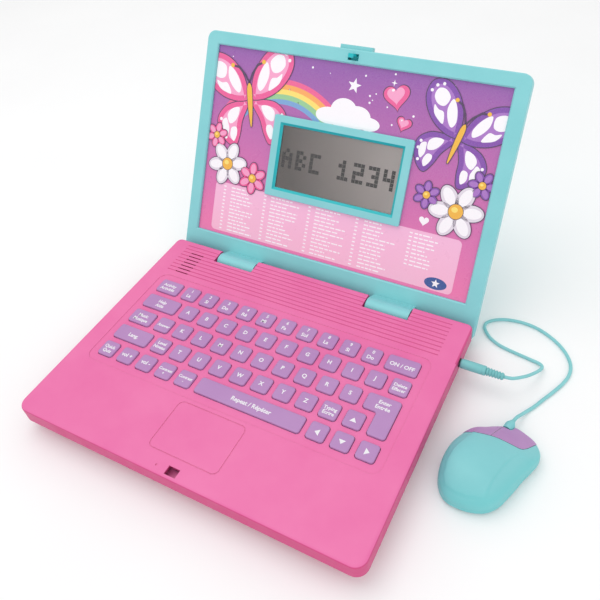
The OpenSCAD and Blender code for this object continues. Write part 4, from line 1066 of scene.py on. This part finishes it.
class Picture:
    """Flat shapes printed on the lid's panel, one thin film over another."""

    def __init__(self):
        self.parts = Parts()

    def shape(self, points, ink, layer):
        """Adds a shape, less what lies behind the screen's bezel."""
        points = clip([Vector(p) for p in points])
        x0, y0, x1, y1 = BEZEL_HOLE
        if all(p.x <= x0 for p in points) or all(p.x >= x1 for p in points):
            self.film(points, ink, layer)
            return
        self.film(clip_line(points, 0, x0, True), ink, layer)
        self.film(clip_line(points, 0, x1, False), ink, layer)
        middle = clip_line(clip_line(points, 0, x0, False), 0, x1, True)
        self.film(clip_line(middle, 1, y0, True), ink, layer)
        self.film(clip_line(middle, 1, y1, False), ink, layer)

    def film(self, points, ink, layer):
        if len(points) < 3:
            return
        flat = [Vector((p[0] * MM, p[1] * MM, 0)) for p in points]
        faces = [tuple(f) for f in tessellate_polygon([flat])]
        area = sum((flat[f[1]] - flat[f[0]]).cross(flat[f[2]] - flat[f[0]]).z for f in faces)
        if area < 0:
            faces = [tuple(reversed(f)) for f in faces]
        lift = PANEL_OUT + layer * LAYER
        plate = slab(flat, faces, LAYER / 2, lambda v: LID_FRAME @ Vector((v.x, v.y, v.z + lift)))
        self.parts.add(*plate, INK_NAMES.index(ink))

    def make(self):
        materials = []
        for name, (low, high) in INKS.items():
            reach = LIST_INKS_UP if name.startswith("list") else PICTURE_UP
            materials.append(gradient("art_" + name, srgb(*low), srgb(*high), *reach))
        return self.parts.make("lid_picture", materials, "lid", smooth=False)


CURVE_STEPS = 7


def curve_loop(points):
    return smooth_path(points, CURVE_STEPS, closed=True)


def ellipse(x, y, rx, ry, turn=0.0, n=28):
    c, s = math.cos(math.radians(turn)), math.sin(math.radians(turn))
    points = [(rx * math.cos(2 * math.pi * k / n), ry * math.sin(2 * math.pi * k / n)) for k in range(n)]
    return [Vector((x + c * a - s * b, y + s * a + c * b)) for a, b in points]


def placed(points, x, y, size, turn=0.0, mirror=1):
    c, s = math.cos(math.radians(turn)), math.sin(math.radians(turn))
    return [Vector((x + size * (c * mirror * a - s * b), y + size * (s * mirror * a + c * b)))
            for a, b in points]


def grow(points, by):
    """Moves a closed outline outward along its normals."""
    n = len(points)
    turn = sum(points[i - 1].x * points[i].y - points[i].x * points[i - 1].y for i in range(n))
    sign = 1 if turn > 0 else -1
    result = []
    for i in range(n):
        along = points[(i + 1) % n] - points[i - 1]
        if along.length == 0:
            result.append(points[i])
            continue
        along.normalize()
        result.append(points[i] + Vector((along.y, -along.x)) * by * sign)
    return result


def star(x, y, size, turn=0.0, points=5, waist=0.42):
    tips = []
    for k in range(2 * points):
        reach = size * (1 if k % 2 == 0 else waist)
        angle = math.radians(turn + 180 / points * k)
        tips.append(Vector((x + reach * math.sin(angle), y + reach * math.cos(angle))))
    return tips


def heart(x, y, size, turn=0.0):
    points = []
    for k in range(40):
        t = 2 * math.pi * k / 40
        up = 13 * math.cos(t) - 5 * math.cos(2 * t) - 2 * math.cos(3 * t) - math.cos(4 * t)
        points.append((math.sin(t) ** 3, up / 16))
    return placed(points, x, y, size, turn)


# a butterfly's shapes, for a wing about one unit long, to the right of its body
UPPER_WING = [(0.03, 0.10), (0.14, 0.52), (0.40, 0.86), (0.74, 1.02), (1.02, 0.92), (1.07, 0.62),
              (0.92, 0.34), (0.66, 0.12), (0.34, 0.0), (0.06, 0.0)]
LOWER_WING = [(0.04, 0.0), (0.30, -0.02), (0.62, -0.10), (0.83, -0.33), (0.80, -0.62), (0.62, -0.86),
              (0.42, -0.94), (0.30, -0.72), (0.22, -0.42), (0.08, -0.16)]
WING_CELLS = [[(0.20, 0.30), (0.30, 0.56), (0.46, 0.72), (0.50, 0.50), (0.40, 0.28), (0.26, 0.16)],
              [(0.54, 0.72), (0.70, 0.84), (0.86, 0.80), (0.88, 0.62), (0.74, 0.50), (0.58, 0.52)],
              [(0.54, 0.38), (0.68, 0.40), (0.80, 0.46), (0.74, 0.30), (0.60, 0.20), (0.46, 0.16)]]
LOWER_CELLS = [[(0.28, -0.14), (0.46, -0.16), (0.58, -0.28), (0.54, -0.46), (0.40, -0.42), (0.30, -0.28)],
               [(0.62, -0.34), (0.72, -0.40), (0.72, -0.56), (0.62, -0.70), (0.56, -0.58), (0.58, -0.44)],
               [(0.40, -0.54), (0.50, -0.56), (0.54, -0.72), (0.46, -0.84), (0.38, -0.72), (0.36, -0.60)]]
UPPER_SPOTS = [(0.93, 0.86), (1.0, 0.72), (0.8, 0.94)]
LOWER_SPOTS = [(0.76, -0.52), (0.66, -0.76), (0.76, -0.36)]
INSECT_BODY = [(0, 0.34), (0.05, 0.26), (0.06, 0.1), (0.05, -0.2), (0.02, -0.5), (0, -0.56),
               (-0.02, -0.5), (-0.05, -0.2), (-0.06, 0.1), (-0.05, 0.26)]
FEELER = [(0.0, 0.30), (0.10, 0.50), (0.24, 0.66), (0.36, 0.70), (0.37, 0.74), (0.22, 0.71),
          (0.07, 0.53), (-0.03, 0.32)]
FEELER_TIP = (0.38, 0.73)
SPOT_REACH = 0.985


def butterfly(picture, x, y, size, turn, outer, inner, cells, layer):
    for mirror in (1, -1):
        for wing, holes, spots, base in ((LOWER_WING, LOWER_CELLS, LOWER_SPOTS, layer),
                                         (UPPER_WING, WING_CELLS, UPPER_SPOTS, layer + 4)):
            shape = curve_loop(placed(wing, x, y, size, turn, mirror))
            picture.shape(grow(shape, 0.7), "line", base)
            picture.shape(shape, outer, base + 1)
            picture.shape(grow(shape, -0.11 * size), inner, base + 2)
            for hole in holes:
                picture.shape(curve_loop(placed(hole, x, y, size, turn, mirror)), cells, base + 3)
            for dx, dy in spots:
                spot = placed([(dx * SPOT_REACH, dy * SPOT_REACH)], x, y, size, turn, mirror)[0]
                picture.shape(ellipse(spot.x, spot.y, 0.035 * size, 0.035 * size), "white", base + 3)
    body = curve_loop(placed(INSECT_BODY, x, y, size, turn))
    picture.shape(grow(body, 0.6), "line", layer + 8)
    picture.shape(body, "gold", layer + 9)
    for mirror in (1, -1):
        picture.shape(placed(FEELER, x, y, size, turn, mirror), "line", layer + 8)
        tip = placed([FEELER_TIP], x, y, size, turn, mirror)[0]
        picture.shape(ellipse(tip.x, tip.y, 0.045 * size, 0.045 * size), "gold", layer + 9)


PETALS = 6


def flower(picture, x, y, size, turn, petal, edge, layer):
    for k in range(PETALS):
        a = turn + 360 / PETALS * k
        c, s = math.cos(math.radians(a)), math.sin(math.radians(a))
        shape = ellipse(x + 0.56 * size * c, y + 0.56 * size * s, 0.46 * size, 0.30 * size, a)
        picture.shape(grow(shape, 0.6), "line", layer)
        picture.shape(shape, edge, layer + 1)
        middle = ellipse(x + 0.60 * size * c, y + 0.60 * size * s, 0.34 * size, 0.19 * size, a)
        picture.shape(middle, petal, layer + 2)
    picture.shape(ellipse(x, y, 0.27 * size + 0.5, 0.27 * size + 0.5), "line", layer + 3)
    picture.shape(ellipse(x, y, 0.27 * size, 0.27 * size), "gold", layer + 4)
    glint = ellipse(x - 0.05 * size, y + 0.06 * size, 0.12 * size, 0.10 * size)
    picture.shape(glint, "rainbow_yellow", layer + 5)


def arc_band(x, y, inner, outer, start, end, n=40):
    angles = [math.radians(start + (end - start) * k / n) for k in range(n + 1)]
    return ([Vector((x + outer * math.cos(a), y + outer * math.sin(a))) for a in angles]
            + [Vector((x + inner * math.cos(a), y + inner * math.sin(a))) for a in reversed(angles)])


# the picture's pieces, in millimetres across the lid and up it
RAINBOW = ["rainbow_pink", "rainbow_orange", "rainbow_yellow", "rainbow_green", "rainbow_blue"]
RAINBOW_RADIUS, RAINBOW_BAND = 74, 4.2
CLOUD = [(-14, 147, 13, 7), (-2, 153, 12, 10), (11, 150, 12, 8.5), (22, 145.5, 10, 5.5), (3, 144, 26, 4.2)]
HEARTS = [(42, 171, 11, 14), (52, 151, 6.3, -12)]
SPECKS = 34
FLOWERS = [(-108, 88, 20, 10, "white", "shade"), (-80, 80, 14, 30, "soft_pink", "hot_pink"),
           (-123, 112, 11, 20, "soft_pink", "hot_pink"), (108, 92, 22, 5, "white", "shade"),
           (82, 100, 11, 30, "lilac", "violet"), (124, 116, 11, 0, "lilac", "violet")]
LIST_BOX = (-118, 24.9, 118.5, 70.5)
# each column of the list: where its numbers and its words start, and the words' width
LIST_COLUMNS = [(-108.9, -100.5, 27), (-65.4, -58.0, 30), (-20.0, -12.6, 32),
                (25.8, 33.7, 31), (74.4, 78.7, 25)]
LIST_ROWS, LAST_COLUMN_ROWS = 13, 9
LIST_TOP, LIST_STEP, BAR_HALF = 67.2, 3.3, 0.55
NUMBER_WIDTH, WORD_GAP = 2.6, 0.9
BADGE_AT = (104, 31)


def print_list(art, luck):
    """Short bars for the numbers and words of the list under the screen."""
    for number_x, words_x, width in LIST_COLUMNS:
        rows = LAST_COLUMN_ROWS if number_x == LIST_COLUMNS[-1][0] else LIST_ROWS
        for row in range(rows):
            low, high = LIST_TOP - row * LIST_STEP - BAR_HALF, LIST_TOP - row * LIST_STEP + BAR_HALF
            art.shape(box_corners(number_x, low, number_x + NUMBER_WIDTH, high), "list_ink", 3)
            x, end = words_x, words_x + width * luck.uniform(0.45, 1.0)
            while x < end:
                step = luck.uniform(2.2, 6.5)
                art.shape(box_corners(x, low, min(x + step, end), high), "list_ink", 3)
                x += step + WORD_GAP


def make_picture():
    luck = random.Random(7)
    art = Picture()
    for k, ink in enumerate(RAINBOW):
        outer = RAINBOW_RADIUS - RAINBOW_BAND * k
        art.shape(arc_band(-58, 96, outer - RAINBOW_BAND, outer, 36, 150), ink, 1)
    for k, (x, y, rx, ry) in enumerate(CLOUD):
        art.shape(ellipse(x, y, rx, ry), "white", 2 + 0.1 * k)
    art.shape(star(4, 174, 6.2, 8), "white", 2)
    art.shape(star(-121, 166, 3.4, 0, 4, 0.3), "white", 2)
    art.shape(star(38, 181, 2.6, 0, 4, 0.3), "white", 2)
    for x, y, size, turn in HEARTS:
        art.shape(heart(x, y, size + 0.8, turn), "line", 2)
        art.shape(heart(x, y, size, turn), "hot_pink", 3)
        art.shape(heart(x - 0.08 * size, y + 0.1 * size, size * 0.68, turn), "soft_pink", 4)
        art.shape(ellipse(x - 0.35 * size, y + 0.4 * size, 0.12 * size, 0.09 * size, 30), "white", 5)
    art.shape(heart(84, 79, 4.2, 0), "white", 2)
    for _ in range(SPECKS):
        x, y = luck.uniform(-128, 128), luck.uniform(146, 188)
        radius = luck.uniform(0.35, 0.95)
        art.shape(ellipse(x, y, radius, radius, 0, 12), "white", 1)
    butterfly(art, -93, 148, 42, 12, "hot_pink", "soft_pink", "white", 6)
    butterfly(art, 98, 147, 36, -14, "violet", "lilac", "white", 6)
    for x, y, size, turn, petal, edge in FLOWERS:
        flower(art, x, y, size, turn, petal, edge, 18)
    art.shape(rounded(box_corners(*LIST_BOX), 4), "list", 2)
    print_list(art, luck)
    art.shape(ellipse(*BADGE_AT, 9.6, 4.9), "navy", 3)
    art.shape(star(*BADGE_AT, 3.8), "white", 4)
    art.make()


make_picture()
panel_print = gradient("panel_print", srgb(238, 115, 175), srgb(150, 88, 172), 30, 185)
paint(panel_print, "artwork_panel")


# ---------------------------------------------------------------- screen

GLYPHS = {
    "A": ["010", "101", "111", "101", "101"],
    "B": ["110", "101", "110", "101", "110"],
    "C": ["111", "100", "100", "100", "111"],
    " ": ["000", "000", "000", "000", "000"],
    "1": ["010", "110", "010", "010", "111"],
    "2": ["111", "001", "111", "100", "111"],
    "3": ["111", "001", "011", "001", "111"],
    "4": ["101", "101", "111", "001", "001"],
}
SCREEN_TEXT = "ABC 1234"
PIXEL = 3.43
PIXEL_FILL = 3.2
TEXT_TOP = 113.0
TEXT_OUT = -3.12 * MM
TEXT_T = 0.01 * MM


def lcd_glass():
    """Reflective display film: warm grey, lightened towards the right as a painted reflection, with a slow
    clouding and a faint cell grid.
    """
    s = Shader("lcd_film")
    # painted reflection: the film turns from dark grey to light grey across the screen, towards the right and
    # a little up the lid
    reflection_slope = (LID_UP * 0.35 + Vector((1, 0, 0))).normalized()
    share = s.spread(s.along(reflection_slope, LID_FOOT + LID_UP * SCREEN_MID), 0, 1, -45 * MM, 50 * MM)
    tone = s.mix(share, srgb(108, 99, 95), srgb(216, 206, 202))
    cloud = s.mix(s.spread(s.noise(14, 2), 0, 0.12), tone, srgb(100, 92, 90))
    s.colour(s.mix(s.spread(s.noise(1200, 2), 0, 0.12), cloud, srgb(100, 92, 90)))
    s.shine(s.spread(s.noise(200, 2), 0.35, 0.45))
    s.bump(s.noise(2000, 2), 4e-6, 0.4)
    return s.material


def clear_window():
    return varied("clear_window", ((0.96, 0.97, 0.97), (0.99, 0.99, 0.99)), (40, 2), ((300, 3), 0.0, 0.03),
                  transmission_weight=1.0, ior=1.49)


def lcd_ink():
    return varied("lcd_segments", (srgb(34, 28, 30), srgb(46, 40, 40)), (900, 2),
                  ((500, 2), 0.35, 0.5), ((2500, 2), 3e-6, 0.4, 0))


def make_screen():
    paint(lcd_glass(), "lcd_module")
    paint(clear_window(), "lcd_window")
    dots = Parts()
    start = -(len(SCREEN_TEXT) * 4 - 1) * PIXEL / 2
    for k, sign in enumerate(SCREEN_TEXT):
        for r, row in enumerate(GLYPHS[sign]):
            for c, on in enumerate(row):
                if on == "1":
                    x, y = start + (k * 4 + c) * PIXEL, TEXT_TOP - r * PIXEL
                    flat = [mm(a, b, 0) for a, b in box_corners(x, y - PIXEL_FILL, x + PIXEL_FILL, y)]
                    dots.add(*slab(flat, [(0, 1, 2, 3)], TEXT_T,
                                   lambda v: LID_FRAME @ Vector((v.x, v.y, v.z + TEXT_OUT))))
    piece = dots.make("lcd_dots", [lcd_ink()], "lid", smooth=False)


make_screen()


# ---------------------------------------------------------------- floor and light

FLOOR_HALF = 3.0
LIGHT_TARGET = Vector((0, 0, 0.08))
WORLD_STRENGTH = 0.84
# place in metres, diameter in metres and power in watts of each soft light
LIGHTS = {"key": ((-0.35, 0.1, 1.4), 1.1, 4.3), "fill": ((0.7, -1.0, 0.8), 1.0, 2.0)}


def make_floor():
    corners = [(x * FLOOR_HALF, y * FLOOR_HALF, 0) for x, y in box_corners(-1, -1, 1, 1)]
    mesh = bpy.data.meshes.new("floor")
    mesh.from_pydata(corners, [], [(0, 1, 2, 3)])
    floor = bpy.data.objects.new("floor", mesh)
    bpy.context.scene.collection.objects.link(floor)
    s = Shader("floor")
    s.colour(s.mix(s.spread(s.noise(6, 2), 0, 1), (0.955, 0.955, 0.957), (0.975, 0.975, 0.977)))
    s.set(roughness=0.8)
    mesh.materials.append(s.material)


def area_light(name, at, size, watts):
    data = bpy.data.lights.new(name, "AREA")
    data.shape = "DISK"
    data.size = size
    data.energy = watts
    lamp = bpy.data.objects.new(name, data)
    direction = LIGHT_TARGET - Vector(at)
    lamp.matrix_world = Matrix.Translation(at) @ direction.to_track_quat("-Z", "Y").to_matrix().to_4x4()
    bpy.context.scene.collection.objects.link(lamp)


def make_light():
    world = bpy.data.worlds.new("studio")
    world.use_nodes = True
    background = world.node_tree.nodes["Background"]
    background.inputs["Color"].default_value = (1, 1, 1, 1)
    background.inputs["Strength"].default_value = WORLD_STRENGTH
    bpy.context.scene.world = world
    for name, (at, size, watts) in LIGHTS.items():
        area_light(name, at, size, watts)
    bpy.context.scene.view_settings.view_transform = "Standard"


make_floor()
make_light()
